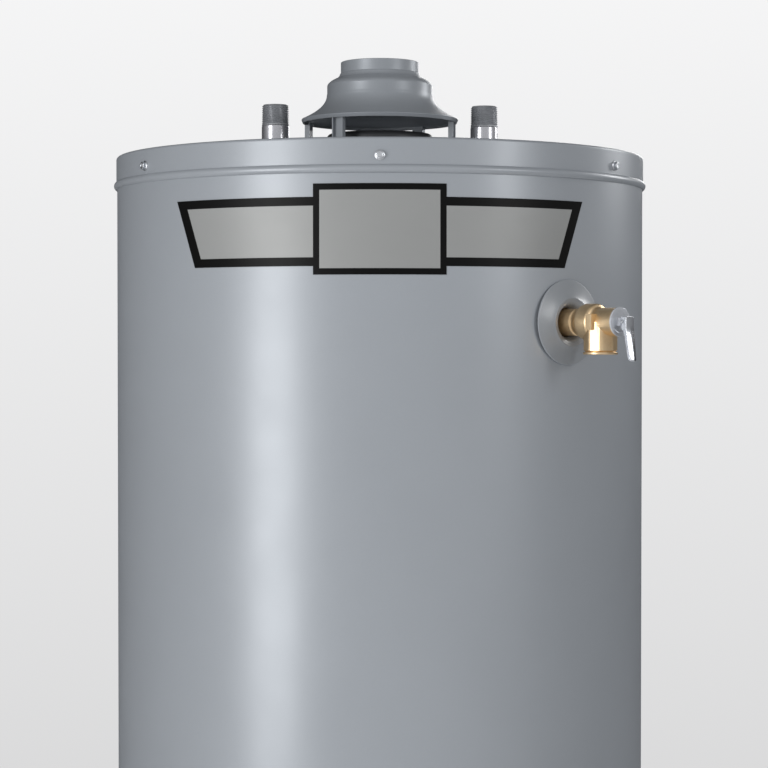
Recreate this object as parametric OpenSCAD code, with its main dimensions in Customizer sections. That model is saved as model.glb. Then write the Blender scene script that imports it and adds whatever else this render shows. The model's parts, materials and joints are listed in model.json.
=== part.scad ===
// Tank water heater: an atmospheric-vent gas heater that stands on its own base ring.
// Millimetres. +Z is up, -Y is the front, and the origin is on the tank's axis at floor level.

/* [Casing] */
// Outer diameter of the rolled steel jacket
jacket_d = 508; // [480:1:540]
// Height of the flat top cover above the floor
cover_top = 1466; // [1350:1:1600]
// Thickness of the casing's sheet steel
sheet_t = 0.6; // [0.5:0.1:0.8]
// Depth of the top cover's skirt, down to the middle of its rolled bead
skirt_drop = 27.3; // [24:0.1:34]
// Height of the base ring under the jacket
base_h = 46.5; // [40:0.5:60]

/* [Tank] */
// Outer diameter of the welded tank
tank_d = 406; // [380:1:420]
// Wall of the welded tank
tank_t = 2.4; // [2:0.1:3]
// Height of the tank's bottom weld above the floor
tank_bottom = 300; // [290:1:315]
// Outer diameter of the flue through the tank's middle
flue_d = 95.2; // [90:0.1:96]

/* [Water fittings] */
// Distance between the two water nipples
nipple_spacing = 203.2; // [190:0.1:215]
// Outer diameter of a nipple
nipple_d = 26.67; // [26:0.01:27.5]
// Height of the nipples above the cover
nipple_rise = 54; // [45:1:70]
// Azimuth of the relief valve, towards the viewer's right
relief_az = 41; // [35:1:50]
// Depth of the relief valve's axis below the cover
relief_drop = 159; // [150:1:200]
// Azimuth of the drain valve, towards the viewer's left
drain_az = -38; // [-48:1:-34]
// Height of the drain valve's axis above the floor
drain_z = 352; // [345:1:360]

/* [Venting] */
// Outer diameter of the vent collar on the draft hood
vent_d = 75.8; // [74:0.1:77]
// Height of the vent collar's rim above the cover
hood_rise = 95; // [93:0.5:100]

/* [Gas control] */
// Height of the gas control's axis above the floor
control_z = 400; // [396:1:420]
// Diameter of the temperature dial
dial_d = 48; // [40:1:50]
// Travel of the pilot and igniter buttons
button_travel = 4; // [2:0.5:5]

/* [Label] */
// Half angle of the label's middle panel
label_mid = 13.1; // [12:0.1:18]
// Half angle of the label's wings at their top corners
label_wing = 45.3; // [40:0.1:48]

/* [Hidden] */

$fn = 64;
EPS = 0.01;
OVER = 1;

jacket_r = jacket_d / 2;
tank_r = tank_d / 2;
flue_r = flue_d / 2;
nipple_r = nipple_d / 2;
nipple_x = nipple_spacing / 2;
relief_z = cover_top - relief_drop;
jacket_bottom = base_h + 3.5;
jacket_top = cover_top - 6;

// Casing
skirt_gap = 0.15;
skirt_t = 0.6;
skirt_r = jacket_r + skirt_gap + skirt_t;
bead_half = 3.7;
bead_r = skirt_r + 2.35;
rim_round = 2.5;
cover_t = 0.8;
screw_azimuths = [0, 57, 123, 180, 237, 303];
cover_screw_drop = 16;
screw_hole_r = 2.1;
screw_r = 2;

// Tank
spud_r = 17.5;
spud_bore_r = 13.4;
tank_top = cover_top - 86;
dome_h = 45;
dome_sphere_r = (tank_r * tank_r + dome_h * dome_h) / (2 * dome_h);
anode_x = 52;
anode_y = 104;
spud_top = cover_top - 36;
spud_h = 32;

// Front access
window_half = 70;
window_low = 110;
window_high = 230;
opening_half = 100;
opening_low = 95;
opening_high = 300;
door_screws = [[-77, 103], [77, 103], [-77, 237], [77, 237]];

// Gas train: where each line leaves the control, left to right
manifold_x = 0;
pilot_x = 20;
couple_x = 32;
line_y = -292;
dial_at = [-26, -2];
knob_at = [34, 16];
pilot_at = [19, -23];
igniter_at = [46, -24];
shaft_play = 0.05;

// Hand-chosen stations of the four lines, from the control down to the burner
manifold_route = [[0, -292, 345], [0, -292, 310], [0, -238, 262], [0, -238, 180], [0, -190, 144],
    [0, -106, 144]];
pilot_route = [[20, -292, 345], [20, -292, 312], [20, -242, 268], [20, -242, 190],
    [22, -190, 160], [28, -110, 157], [28, -106.7, 163.5]];
couple_route = [[32, -292, 345], [32, -292, 314], [30, -246, 268], [30, -246, 200],
    [32, -190, 162], [38, -110, 157], [38, -106, 165]];
spark_route = [[46, -295, 375], [46, -282, 330], [40, -248, 274], [40, -248, 210],
    [42, -190, 164], [48, -110, 157], [48, -106, 165]];
manifold_r = 6.3;
pilot_r = 3.2;
couple_r = 1.6;
spark_r = 1.5;

// Draft hood
hood_t = 0.8;
lip_r = 76.2;
lip_z = 39.5;
tier_r = 51.2;
leg_azimuths = [-33, 77, 147, 257];
leg_r = 74;

// ---------------------------------------------------------------- helpers

// Places children with their +Z pointing outwards from the tank's axis, their +X to the
// viewer's right and their +Y up. Local z is the distance from the tank's axis.
module outward(az, height, side = 0, rise = 0)
    rotate([0, 0, az])
        translate([side, 0, height + rise])
            rotate([90, 0, 0])
                children();

module tube(r_out, r_in, h)
    difference() {
        cylinder(r = r_out, h = h);
        translate([0, 0, -OVER])
            cylinder(r = r_in, h = h + 2 * OVER);
    }

// A plate bent round the tank's axis, centred on the front
module arc_plate(r_in, r_out, half_w, low, high)
    intersection() {
        translate([0, 0, low])
            tube(r_out, r_in, high - low);
        translate([-half_w, -r_out - OVER, low - OVER])
            cube([2 * half_w, r_out, high - low + 2 * OVER]);
    }

// A rounded rectangle made of true arcs
module round_rect(w, h, r) {
    square([w - 2 * r, h], center = true);
    square([w, h - 2 * r], center = true);
    for (x = [-1, 1], y = [-1, 1])
        translate([x * (w / 2 - r), y * (h / 2 - r)])
            circle(r = r);
}

// A hexagonal bar by its distance across flats
module hex_bar(across, h)
    cylinder(r = across / sqrt(3), h = h, $fn = 6);

function arc(cx, cy, r, a0, a1, n) =
    [for (i = [0:n]) let (a = a0 + (a1 - a0) * i / n) [cx + r * cos(a), cy + r * sin(a)]];

function bezier(p, q, s, n) =
    [for (i = [0:n]) let (t = i / n) (1 - t) * (1 - t) * p + 2 * t * (1 - t) * q + t * t * s];

// Height of a tank head's outer surface above its weld
function dome(r) = sqrt(dome_sphere_r * dome_sphere_r - r * r) - (dome_sphere_r - dome_h);

function reversed(list) = [for (i = [len(list) - 1:-1:0]) list[i]];

function unit(v) = v / norm(v);

// One rounded corner of a route, with the bend starting at most 'bend' before the station
function corner(a, b, c, bend, n) =
    let (
        back = min(bend, norm(b - a) * 0.45),
        on = min(bend, norm(c - b) * 0.45)
    )
    bezier(b + unit(a - b) * back, b, b + unit(c - b) * on, n);

function route(p, bend, n) = concat(
    [p[0]],
    [for (i = [1:len(p) - 2]) each corner(p[i - 1], p[i], p[i + 1], bend, n)],
    [p[len(p) - 1]]
);

function heading(p, i) = unit(p[min(i + 1, len(p) - 1)] - p[max(i - 1, 0)]);

// A ring of points round station i; the lines never run along X, so X sets the ring's zero
function ring(p, i, r, sides) =
    let (
        t = heading(p, i),
        u = unit([1, 0, 0] - t[0] * t),
        v = cross(t, u)
    )
    [for (k = [0:sides - 1]) p[i] + r * (cos(360 * k / sides) * u + sin(360 * k / sides) * v)];

// A round tube swept along a route
module swept(stations, r, bend, sides = 12, n = 5) {
    p = route(stations, bend, n);
    m = len(p);
    points = [for (i = [0:m - 1]) each ring(p, i, r, sides)];
    walls = [for (i = [0:m - 2], k = [0:sides - 1])
        let (a = i * sides + k, b = i * sides + (k + 1) % sides)
        [a, a + sides, b + sides, b]];
    start = [for (k = [0:sides - 1]) k];
    end = [for (k = [sides - 1:-1:0]) (m - 1) * sides + k];
    polyhedron(points, concat([start], walls, [end]), convexity = 6);
}

// ---------------------------------------------------------------- casing

module jacket()
    color([0.62, 0.64, 0.66])
        difference() {
            translate([0, 0, jacket_bottom])
                tube(jacket_r, jacket_r - sheet_t, jacket_top - jacket_bottom);
            translate([-opening_half, -jacket_r - OVER, opening_low])
                cube([2 * opening_half, 60, opening_high - opening_low]);
            outward(relief_az, relief_z)
                cylinder(r = 17.5, h = jacket_r + OVER);
            outward(drain_az, drain_z)
                cylinder(r = 17, h = jacket_r + OVER);
            outward(0, control_z)
                cylinder(r = 17, h = jacket_r + OVER);
            screw_holes(screw_azimuths, cover_top - cover_screw_drop);
            screw_holes(base_screw_azimuths, base_h + 9);
        }

base_screw_azimuths = [30, 90, 150, 210, 270, 330];

module screw_holes(azimuths, height)
    for (az = azimuths)
        outward(az, height)
            translate([0, 0, jacket_r - 10])
                cylinder(r = screw_hole_r, h = 20);

module top_cover() {
    bead_arc_r = (bead_half * bead_half + pow(bead_r - skirt_r, 2)) / (2 * (bead_r - skirt_r));
    bead_a = asin(bead_half / bead_arc_r);
    inner_r = skirt_r - skirt_t;
    profile = concat(
        [[50, 0]],
        arc(skirt_r - rim_round, -rim_round, rim_round, 90, 0, 6),
        arc(bead_r - bead_arc_r, -skirt_drop, bead_arc_r, bead_a, -bead_a, 8),
        [[inner_r, -skirt_drop - bead_half], [inner_r, -rim_round], [inner_r - rim_round + 0.7, -cover_t],
            [50, -cover_t]]
    );
    color([0.62, 0.64, 0.66])
        difference() {
            translate([0, 0, cover_top])
                rotate_extrude()
                    polygon(profile);
            for (side = [-1, 1])
                translate([side * nipple_x, 0, cover_top - 5])
                    cylinder(r = 14.6, h = 10);
            translate([anode_x, anode_y, cover_top - 5])
                cylinder(r = 22, h = 10);
            screw_holes(screw_azimuths, cover_top - cover_screw_drop);
        }
}

// A sheet screw: shank, washer flange and hexagon head, its flange seated at radius 'seat'
module sheet_screw(seat, shank) {
    translate([0, 0, seat - shank])
        cylinder(r = screw_r, h = shank + EPS);
    translate([0, 0, seat])
        cylinder(r = 4.6, h = 0.9);
    translate([0, 0, seat + 0.9 - EPS])
        hex_bar(6.4, 3);
}

module cover_screws()
    color([0.85, 0.86, 0.88])
        for (az = screw_azimuths)
            outward(az, cover_top - cover_screw_drop)
                sheet_screw(skirt_r + 0.03, 9);

module anode_cap()
    color([0.25, 0.26, 0.27])
        translate([anode_x, anode_y, cover_top]) {
            translate([0, 0, 0.05])
                cylinder(r = 25, h = 2);
            translate([0, 0, -8])
                tube(21.7, 19.7, 8.1);
        }

module bottom_pan()
    color([0.55, 0.57, 0.59])
        difference() {
            rotate_extrude()
                polygon([[105, base_h], [jacket_r - 1, base_h], [jacket_r + 1.6, base_h + 2.6],
                    [jacket_r + 1.6, base_h + 18], [jacket_r + 0.6, base_h + 18],
                    [jacket_r + 0.6, base_h + 3], [jacket_r - 1.4, base_h + 1.2],
                    [105, base_h + 1.2]]);
            screw_holes(base_screw_azimuths, base_h + 9);
        }

module base_ring()
    color([0.24, 0.25, 0.26])
        difference() {
            rotate_extrude()
                polygon([[212, 0], [240, 0], [240, base_h - 0.2], [218, base_h - 0.2],
                    [218, base_h - 1.8], [238.4, base_h - 1.8], [238.4, 1.6], [212, 1.6]]);
            for (i = [0:9])
                rotate([0, 0, 18 + 36 * i])
                    translate([-32, -245, 12])
                        cube([64, 40, 22]);
        }

module base_screws()
    color([0.85, 0.86, 0.88])
        for (az = base_screw_azimuths)
            outward(az, base_h + 9)
                sheet_screw(jacket_r + 1.65, 9);

// Three blank panels wrapped round the front of the jacket
module label_plate() {
    mid_low = 118.4;
    mid_high = 40;
    wing_low = 111;
    wing_high = 51.4;
    face_r = jacket_r + 0.35;
    back_r = jacket_r + 0.05;
    top_x = face_r * sin(label_wing);
    low_x = top_x - 17;
    color([0.45, 0.46, 0.47])
        intersection() {
            translate([0, 0, cover_top - mid_low - OVER])
                tube(face_r, back_r, mid_low);
            translate([0, -jacket_r / 2, 0])
                rotate([90, 0, 0])
                    linear_extrude(height = jacket_r)
                        union() {
                            translate([-face_r * sin(label_mid), cover_top - mid_low])
                                square([2 * face_r * sin(label_mid), mid_low - mid_high]);
                            polygon([[-low_x, cover_top - wing_low], [low_x, cover_top - wing_low],
                                [top_x, cover_top - wing_high], [-top_x, cover_top - wing_high]]);
                        }
        }
}

// ---------------------------------------------------------------- tank

module side_spud_holes(r)
    for (place = [[relief_az, relief_z], [drain_az, drain_z], [0, control_z]])
        outward(place[0], place[1])
            translate([0, 0, tank_r - 40])
                cylinder(r = r, h = 60);

module top_spud_places() {
    for (side = [-1, 1])
        translate([side * nipple_x, 0, 0])
            children();
    translate([anode_x, anode_y, 0])
        children();
}

module tank_shell()
    color([0.35, 0.30, 0.27])
        difference() {
            translate([0, 0, base_h + 1.3])
                tube(tank_r, tank_r - tank_t, tank_top - base_h - 1.3);
            translate([-window_half, -tank_r - OVER, window_low])
                cube([2 * window_half, 60, window_high - window_low]);
            side_spud_holes(spud_r + 0.1);
            for (s = door_screws)
                outward(asin(s[0] / tank_r), s[1])
                    translate([0, 0, tank_r - 10])
                        cylinder(r = screw_hole_r, h = 20);
        }

module head(weld_z) {
    rim_r = tank_r - tank_t - 0.1;
    steps = 12;
    radii = [for (i = [0:steps]) flue_r + 0.1 + (rim_r - flue_r - 0.1) * i / steps];
    outer = [for (r = radii) [r, dome(r)]];
    inner = [for (r = reversed(radii)) [r, dome(r) - tank_t]];
    translate([0, 0, weld_z])
        rotate_extrude()
            polygon(concat(outer, inner));
}

module tank_top_head()
    color([0.35, 0.30, 0.27])
        difference() {
            head(tank_top);
            top_spud_places()
                translate([0, 0, tank_top])
                    cylinder(r = spud_r + 0.1, h = 60);
        }

module tank_bottom_head()
    color([0.35, 0.30, 0.27])
        head(tank_bottom);

module tank_spuds()
    color([0.5, 0.5, 0.5]) {
        top_spud_places()
            translate([0, 0, spud_top - spud_h])
                tube(spud_r, spud_bore_r, spud_h);
        for (place = [[relief_az, relief_z], [drain_az, drain_z], [0, control_z]])
            outward(place[0], place[1])
                translate([0, 0, tank_r - 8])
                    tube(spud_r, spud_bore_r, 20);
    }

module flue_tube()
    color([0.3, 0.3, 0.3])
        difference() {
            translate([0, 0, tank_bottom + dome_h - 6])
                tube(flue_r, flue_r - 2, cover_top + 22 - tank_bottom - dome_h + 6);
            translate([-flue_r - OVER, -1.5, cover_top + 15])
                cube([2 * flue_r + 2 * OVER, 3, 10]);
        }

// A hanging strip with bent tabs on alternate sides that slow the flue gas
module flue_baffle() {
    strip_t = 1.4;
    strip_w = 78;
    tab_pitch = 90;
    strip_low = tank_bottom + 120;
    strip_high = cover_top + 15.2;
    tabs = floor((strip_high - strip_low - 60) / tab_pitch);
    color([0.45, 0.42, 0.4]) {
        translate([-strip_w / 2, -strip_t / 2, strip_low])
            cube([strip_w, strip_t, strip_high - strip_low]);
        translate([-flue_r + 0.4, -strip_t / 2, strip_high - EPS])
            cube([2 * flue_r - 0.8, strip_t, 4]);
        for (i = [0:tabs - 1])
            translate([0, 0, strip_low + 30 + i * tab_pitch])
                rotate([i % 2 == 0 ? 35 : -35, 0, 0])
                    translate([-26, i % 2 == 0 ? -30 : 0, 0])
                        cube([52, 30, strip_t]);
    }
}

module foam_insulation() {
    foam_r = jacket_r - sheet_t - 0.3;
    low = tank_bottom + 22;
    radii = [for (i = [0:10]) (tank_r + 0.3) * i / 10];
    color([0.93, 0.86, 0.6])
        difference() {
            translate([0, 0, low])
                cylinder(r = foam_r, h = cover_top - 3 - low);
            translate([0, 0, low - OVER])
                rotate_extrude()
                    polygon(concat(
                        [[0, 0]],
                        [[tank_r + 0.3, 0]],
                        [for (r = reversed(radii)) [r, tank_top - low + OVER + dome(min(r, tank_r)) + 0.6]]
                    ));
            translate([0, 0, tank_top])
                cylinder(r = 53, h = 200);
            translate([-nipple_x, 0, tank_top])
                cylinder(r = spud_r + 0.4, h = 200);
            translate([nipple_x, 0, tank_top])
                cylinder(r = spud_r + 0.4, h = 200);
            translate([anode_x, anode_y, tank_top])
                cylinder(r = 23, h = 200);
            side_spud_holes(spud_r + 0.4);
            fitting_ways();
            screw_ways(screw_azimuths, cover_top - cover_screw_drop);
        }
}

// Clear ways through the insulation for the valves and the gas control
module fitting_ways()
    for (place = [[relief_az, relief_z], [drain_az, drain_z], [0, control_z]])
        outward(place[0], place[1])
            translate([0, 0, tank_r - 10])
                cylinder(r = 17, h = 80);

// Clear ways through the insulation for the points of the sheet screws
module screw_ways(azimuths, height)
    for (az = azimuths)
        outward(az, height)
            translate([0, 0, jacket_r - 14])
                cylinder(r = 2.4, h = 30);

module chamber_insulation()
    color([0.9, 0.85, 0.55])
        difference() {
            translate([0, 0, base_h + 4])
                tube(jacket_r - sheet_t - 0.4, tank_r + 0.4, tank_bottom + 21 - base_h - 4);
            translate([-opening_half - 4, -jacket_r - OVER, opening_low - 10])
                cube([2 * opening_half + 8, 130, opening_high - opening_low + 20]);
            screw_ways(base_screw_azimuths, base_h + 9);
        }

// ---------------------------------------------------------------- water fittings

module nipple(rise) {
    thread_len = 20;
    low = spud_top - 26;
    difference() {
        union() {
            translate([0, 0, low])
                cylinder(r = nipple_r, h = cover_top + rise - thread_len - low);
            translate([0, 0, cover_top + rise - thread_len - EPS])
                cylinder(r = nipple_r - 0.2, h = thread_len + EPS);
        }
        translate([0, 0, low - OVER])
            cylinder(r = 10.46, h = 400);
    }
}

module cold_nipple()
    color([0.72, 0.73, 0.75])
        translate([nipple_x, 0, 0])
            nipple(nipple_rise - 1.5);

module hot_nipple()
    color([0.72, 0.73, 0.75])
        translate([-nipple_x, 0, 0])
            nipple(nipple_rise);

module nipple_liners()
    color([0.85, 0.87, 0.86])
        for (side = [-1, 1])
            translate([side * nipple_x, 0, spud_top - 25])
                tube(10.4, 9.2, 74 + nipple_rise - 20);

module dip_tube()
    color([0.9, 0.9, 0.88])
        translate([nipple_x, 0, 0]) {
            translate([0, 0, tank_bottom + 170])
                tube(9.5, 8, spud_top - 28 - tank_bottom - 170);
            translate([0, 0, spud_top - 28 - EPS])
                tube(12.8, 8, 1.6);
        }

module anode_rod()
    color([0.7, 0.71, 0.72])
        translate([anode_x, anode_y, 0]) {
            translate([0, 0, tank_bottom + 200])
                cylinder(r = 9.5, h = spud_top - 24 - tank_bottom - 200);
            translate([0, 0, spud_top - 24 - EPS])
                cylinder(r = spud_bore_r - 0.1, h = 24.5);
            translate([0, 0, spud_top + 0.4])
                hex_bar(27, 16);
        }

// ---------------------------------------------------------------- drain valve

drain_seat = 277;
drain_mouth = 300;
hose_drop = 18;
stem_r = 4.2;

module drain_body()
    color([0.78, 0.63, 0.38])
        outward(drain_az, drain_z)
            difference() {
                union() {
                    translate([0, 0, tank_r - 6])
                        cylinder(r = spud_bore_r - 0.1, h = 66);
                    translate([0, 0, jacket_r + 3])
                        hex_bar(30, 8);
                    translate([0, 0, jacket_r + 10])
                        cylinder(r = 14, h = drain_mouth - jacket_r - 10);
                    translate([0, 0, 286])
                        rotate([90, 0, 0]) {
                            cylinder(r = 12.2, h = 20);
                            translate([0, 0, hose_drop])
                                cylinder(r = 13.45, h = 16);
                        }
                }
                translate([0, 0, 190])
                    cylinder(r = 7, h = drain_seat - 190 + OVER);
                translate([0, 0, drain_seat])
                    cylinder(r = 11, h = 40);
                translate([0, 0, 286])
                    rotate([90, 0, 0])
                        cylinder(r = 9.6, h = 60);
            }

module drain_bonnet()
    color([0.74, 0.6, 0.36])
        outward(drain_az, drain_z)
            difference() {
                union() {
                    translate([0, 0, drain_mouth + 0.1])
                        hex_bar(27, 8);
                    translate([0, 0, drain_mouth + 8])
                        cylinder(r = 8.5, h = 5);
                    translate([0, 0, drain_mouth - 5])
                        cylinder(r = 10.9, h = 5.2);
                }
                translate([0, 0, 200])
                    cylinder(r = stem_r + shaft_play, h = 200);
            }

module drain_washer()
    color([0.1, 0.1, 0.1])
        outward(drain_az, drain_z)
            translate([0, 0, drain_seat + 0.05])
                cylinder(r = 9, h = 3);

module drain_stem()
    color([0.74, 0.6, 0.36])
        outward(drain_az, drain_z) {
            translate([0, 0, drain_seat + 3.1])
                cylinder(r = 7.5, h = 4);
            translate([0, 0, drain_seat + 7])
                cylinder(r = stem_r, h = 48);
        }

module drain_handwheel() {
    wheel_low = 322;
    color([0.15, 0.2, 0.3])
        outward(drain_az, drain_z)
            translate([0, 0, wheel_low])
                difference() {
                    union() {
                        cylinder(r = 8, h = 9);
                        translate([0, 0, 1.5])
                            tube(23, 17.5, 6);
                        for (a = [0:72:359])
                            rotate([0, 0, a])
                                translate([6, -2.2, 2.5])
                                    cube([13, 4.4, 4]);
                    }
                    translate([0, 0, -OVER])
                        cylinder(r = stem_r + 0.02, h = 20);
                    for (a = [0:36:359])
                        rotate([0, 0, a])
                            translate([25.5, 0, -OVER])
                                cylinder(r = 4, h = 20);
                }
}

module drain_wheel_screw()
    color([0.85, 0.86, 0.88])
        outward(drain_az, drain_z)
            translate([0, 0, drain_seat + 55.1]) {
                cylinder(r = 4.1, h = 1.4);
                difference() {
                    cylinder(r = 4.1, h = 2.8);
                    translate([-0.5, -5, 1.4])
                        cube([1, 10, 3]);
                }
            }

// ---------------------------------------------------------------- relief valve

module relief_escutcheon()
    color([0.58, 0.60, 0.61])
        outward(relief_az, relief_z)
            rotate_extrude()
                polygon(concat(
                    [[38, jacket_r + 0.2]],
                    [[38, jacket_r + 1.2]],
                    bezier([38, jacket_r + 1.2], [26, jacket_r + 4.2], [21.6, jacket_r + 6.4], 5),
                    bezier([20.8, jacket_r + 6.6], [14.8, jacket_r + 6], [12.9, jacket_r - 3], 5),
                    bezier([14.1, jacket_r - 3], [16.2, jacket_r + 4.4], [21, jacket_r + 5.4], 4),
                    bezier([21.6, jacket_r + 5.2], [26, jacket_r + 3.1], [37, jacket_r + 0.2], 5)
                ));

module relief_body() {
    outlet_r = 294;
    outlet_low = 28.4;
    outlet_thread = 16.4;
    outlet_bore_r = 12;
    color([0.80, 0.65, 0.42])
        outward(relief_az, relief_z)
            difference() {
                union() {
                    rotate_extrude()
                        polygon([[0, tank_r - 6], [spud_bore_r - 0.1, tank_r - 6],
                            [spud_bore_r - 0.1, tank_r + 14], [11.9, tank_r + 18], [11.9, 267],
                            [10.8, 267.6], [10.8, 269.6], [12.2, 270], [15.4, 276.5], [16.2, 279],
                            [16.2, 289], [14.4, 291.4], [12.4, 292.4], [12.4, 316], [0, 316]]);
                    translate([-17, -7, 292])
                        cube([34, 14, 7]);
                    translate([0, 0, outlet_r])
                        rotate([90, 0, 0]) {
                            rotate([0, 0, 22.5])
                                cylinder(r = 14 / cos(22.5), h = outlet_low - 2, $fn = 8);
                            translate([0, 0, outlet_low - 2.2])
                                cylinder(r = 15.2, h = 2.2);
                        }
                }
                translate([0, 0, 150])
                    cylinder(r = 8, h = 131);
                translate([0, 0, 280])
                    cylinder(r = 9.6, h = 40);
                translate([0, 0, outlet_r])
                    rotate([90, 0, 0]) {
                        cylinder(r = 8, h = 20);
                        translate([0, 0, outlet_low - outlet_thread])
                            cylinder(r = outlet_bore_r, h = 60);
                    }
            }
}

relief_face = 317.6;
pivot_d = 324;
pivot_r = 1.1;

// The cap crimped over the spring housing, with the lever's two ears
module relief_cap()
    color([0.63, 0.64, 0.66])
        outward(relief_az, relief_z)
            difference() {
                union() {
                    translate([0, 0, 316.05])
                        cylinder(r = 13, h = relief_face - 316.05);
                    for (side = [-1, 1])
                        translate([side * 3 - 0.6, 0, 0]) {
                            translate([0, -3.4, relief_face - 0.2])
                                cube([1.2, 6.8, pivot_d - relief_face + 0.2]);
                            translate([0, 0, pivot_d])
                                rotate([0, 90, 0])
                                    cylinder(r = 3.4, h = 1.2);
                        }
                }
                translate([0, 0, 300])
                    cylinder(r = 1.6 + shaft_play, h = relief_face - 300 + 1);
                translate([-10, 0, pivot_d])
                    rotate([0, 90, 0])
                        cylinder(r = pivot_r + 0.02, h = 20);
            }

module relief_stem()
    color([0.7, 0.6, 0.4])
        outward(relief_az, relief_z) {
            translate([0, 0, 280.05])
                cylinder(r = 9.2, h = 3.4);
            translate([0, 0, 283])
                cylinder(r = 1.6, h = 36.4);
        }

// The coil that holds the valve shut, a stack of rings on a helix's pitch
module relief_spring()
    color([0.6, 0.6, 0.62])
        outward(relief_az, relief_z)
            for (i = [0:7])
                translate([0, 0, 287.2 + 3.8 * i])
                    tube(7.4, 5.6, 1.8);

module relief_probe()
    color([0.75, 0.6, 0.4])
        outward(relief_az, relief_z)
            translate([0, 0, 100])
                cylinder(r = 4, h = tank_r - 7 - 100);

module relief_lever()
    color([0.86, 0.87, 0.89])
        outward(relief_az, relief_z)
            difference() {
                union() {
                    for (side = [-1, 1])
                        translate([side * 4.6 - 0.5, -7.5, pivot_d - 2.4])
                            cube([1, 12, 7.4]);
                    translate([-5.1, -34, pivot_d + 4])
                        cube([10.2, 38.5, 1]);
                    translate([0, -34, 0])
                        rotate([-90, 0, 0])
                            linear_extrude(height = 28)
                                polygon([[-5.1, -pivot_d - 2.2], [-5.1, -pivot_d - 5], [0, -pivot_d - 6.6],
                                    [5.1, -pivot_d - 5], [5.1, -pivot_d - 2.2], [4.1, -pivot_d - 2.2],
                                    [4.1, -pivot_d - 4.3], [-4.1, -pivot_d - 4.3],
                                    [-4.1, -pivot_d - 2.2]]);
                }
                translate([-10, 0, pivot_d])
                    rotate([0, 90, 0])
                        cylinder(r = pivot_r + shaft_play, h = 20);
                for (side = [-1, 1])
                    translate([side * 5.1, -40, pivot_d - 6])
                        rotate([0, 0, -side * 4])
                            translate([side > 0 ? 0 : -8, 0, 0])
                                cube([8, 33, 20]);
            }

module relief_pin()
    color([0.8, 0.81, 0.83])
        outward(relief_az, relief_z)
            translate([-6, 0, pivot_d])
                rotate([0, 90, 0])
                    cylinder(r = pivot_r, h = 12);

// ---------------------------------------------------------------- venting

module flue_collar() {
    low = 0.05;
    color([0.28, 0.29, 0.30])
        translate([0, 0, cover_top])
            rotate_extrude()
                polygon(concat(
                    [[51, low], [60, low], [60, low + 1]],
                    [[52.3, low + 1]],
                    bezier([52.3, 17], [52.3, 23.6], [48.9, 25], 5),
                    [[48.9, 24]],
                    bezier([49.2, 23.8], [51.2, 22.6], [51.2, 17], 4)
                ));
}

function hood_outer() = concat(
    [[lip_r - 1.2, 36]],
    [[lip_r, lip_z]],
    bezier([lip_r, lip_z], [tier_r + 0.6, 50.8], [tier_r + 0.4, 63], 12),
    [[tier_r, 64.5], [tier_r, 72]],
    bezier([tier_r, 72], [tier_r - 0.4, 75], [44.6, 78.2], 4),
    bezier([42.6, 79.2], [40, 80], [vent_d / 2 + 0.6, 84], 3),
    [[vent_d / 2, 84.6], [vent_d / 2, hood_rise]]
);

module draft_hood() {
    outer = hood_outer();
    inner = [
        [vent_d / 2 - hood_t, hood_rise],
        [vent_d / 2 - hood_t, 84.2],
        each bezier([vent_d / 2 - 0.2, 83.4], [39.2, 79.4], [42.2, 78.4], 3),
        each bezier([44.3, 77.4], [tier_r - 1.2, 74.4], [tier_r - hood_t, 71.8], 4),
        [tier_r - hood_t, 64.4],
        each bezier([tier_r + 0.4 - hood_t, 62.9], [tier_r - 0.2, 50.2], [lip_r - 0.6, lip_z - 1], 12),
        [lip_r - 2, 36],
    ];
    color([0.5, 0.52, 0.54])
        translate([0, 0, cover_top])
            rotate_extrude()
                polygon(concat(outer, inner));
}

// A leg folded to a channel that opens outwards, with a foot tab screwed to the cover
module hood_legs() {
    leg_w = 12;
    top = 38.4;
    color([0.48, 0.50, 0.52])
        for (az = leg_azimuths)
            rotate([0, 0, az])
                translate([0, 0, cover_top + 0.05])
                    difference() {
                        union() {
                            translate([-leg_w / 2, -leg_r + 4, 0])
                                cube([leg_w, 1, top]);
                            for (side = [-1, 1])
                                translate([side * (leg_w / 2 - 0.5) - 0.5, -leg_r, 0])
                                    cube([1, 4.5, top - 2.6]);
                            translate([-leg_w / 2, -leg_r + 4.5, 0])
                                cube([leg_w, 8.5, 1]);
                        }
                        translate([0, -leg_r + 9, -OVER])
                            cylinder(r = 1.6, h = 4);
                    }
}

module hood_screws()
    color([0.8, 0.81, 0.83])
        for (az = leg_azimuths)
            rotate([0, 0, az])
                translate([0, -leg_r + 9, cover_top]) {
                    cylinder(r = 1.5, h = 1.2);
                    translate([0, 0, 1.1])
                        cylinder(r = 3.2, h = 1.8);
                }

// ---------------------------------------------------------------- gas control

block_low = 266;
block_high = 318;
plate_low = 318.3;
plate_high = 334;

module control_body()
    color([0.6, 0.61, 0.62])
        outward(0, control_z)
            difference() {
                union() {
                    translate([0, 0, tank_r - 6])
                        cylinder(r = spud_bore_r - 0.1, h = block_low - tank_r + 7);
                    translate([0, 0, block_low])
                        linear_extrude(height = block_high - block_low)
                            round_rect(76, 92, 8);
                    translate([37, 0, 290])
                        rotate([0, 90, 0])
                            cylinder(r = 17, h = 15);
                    boss(manifold_x, 11);
                    boss(pilot_x, 5.2);
                    boss(couple_x, 4.6);
                }
                translate([30, 0, 290])
                    rotate([0, 90, 0])
                        cylinder(r = 9.4, h = 40);
                translate([0, 0, tank_r - 10])
                    cylinder(r = 5.2, h = 60);
                line_socket(manifold_x, manifold_r);
                line_socket(pilot_x, pilot_r);
                line_socket(couple_x, couple_r);
            }

module boss(x, r)
    translate([x, -45, -line_y])
        rotate([90, 0, 0])
            cylinder(r = r, h = 7);

module line_socket(x, r)
    translate([x, -44, -line_y])
        rotate([90, 0, 0])
            cylinder(r = r + 0.3, h = 20);

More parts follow.
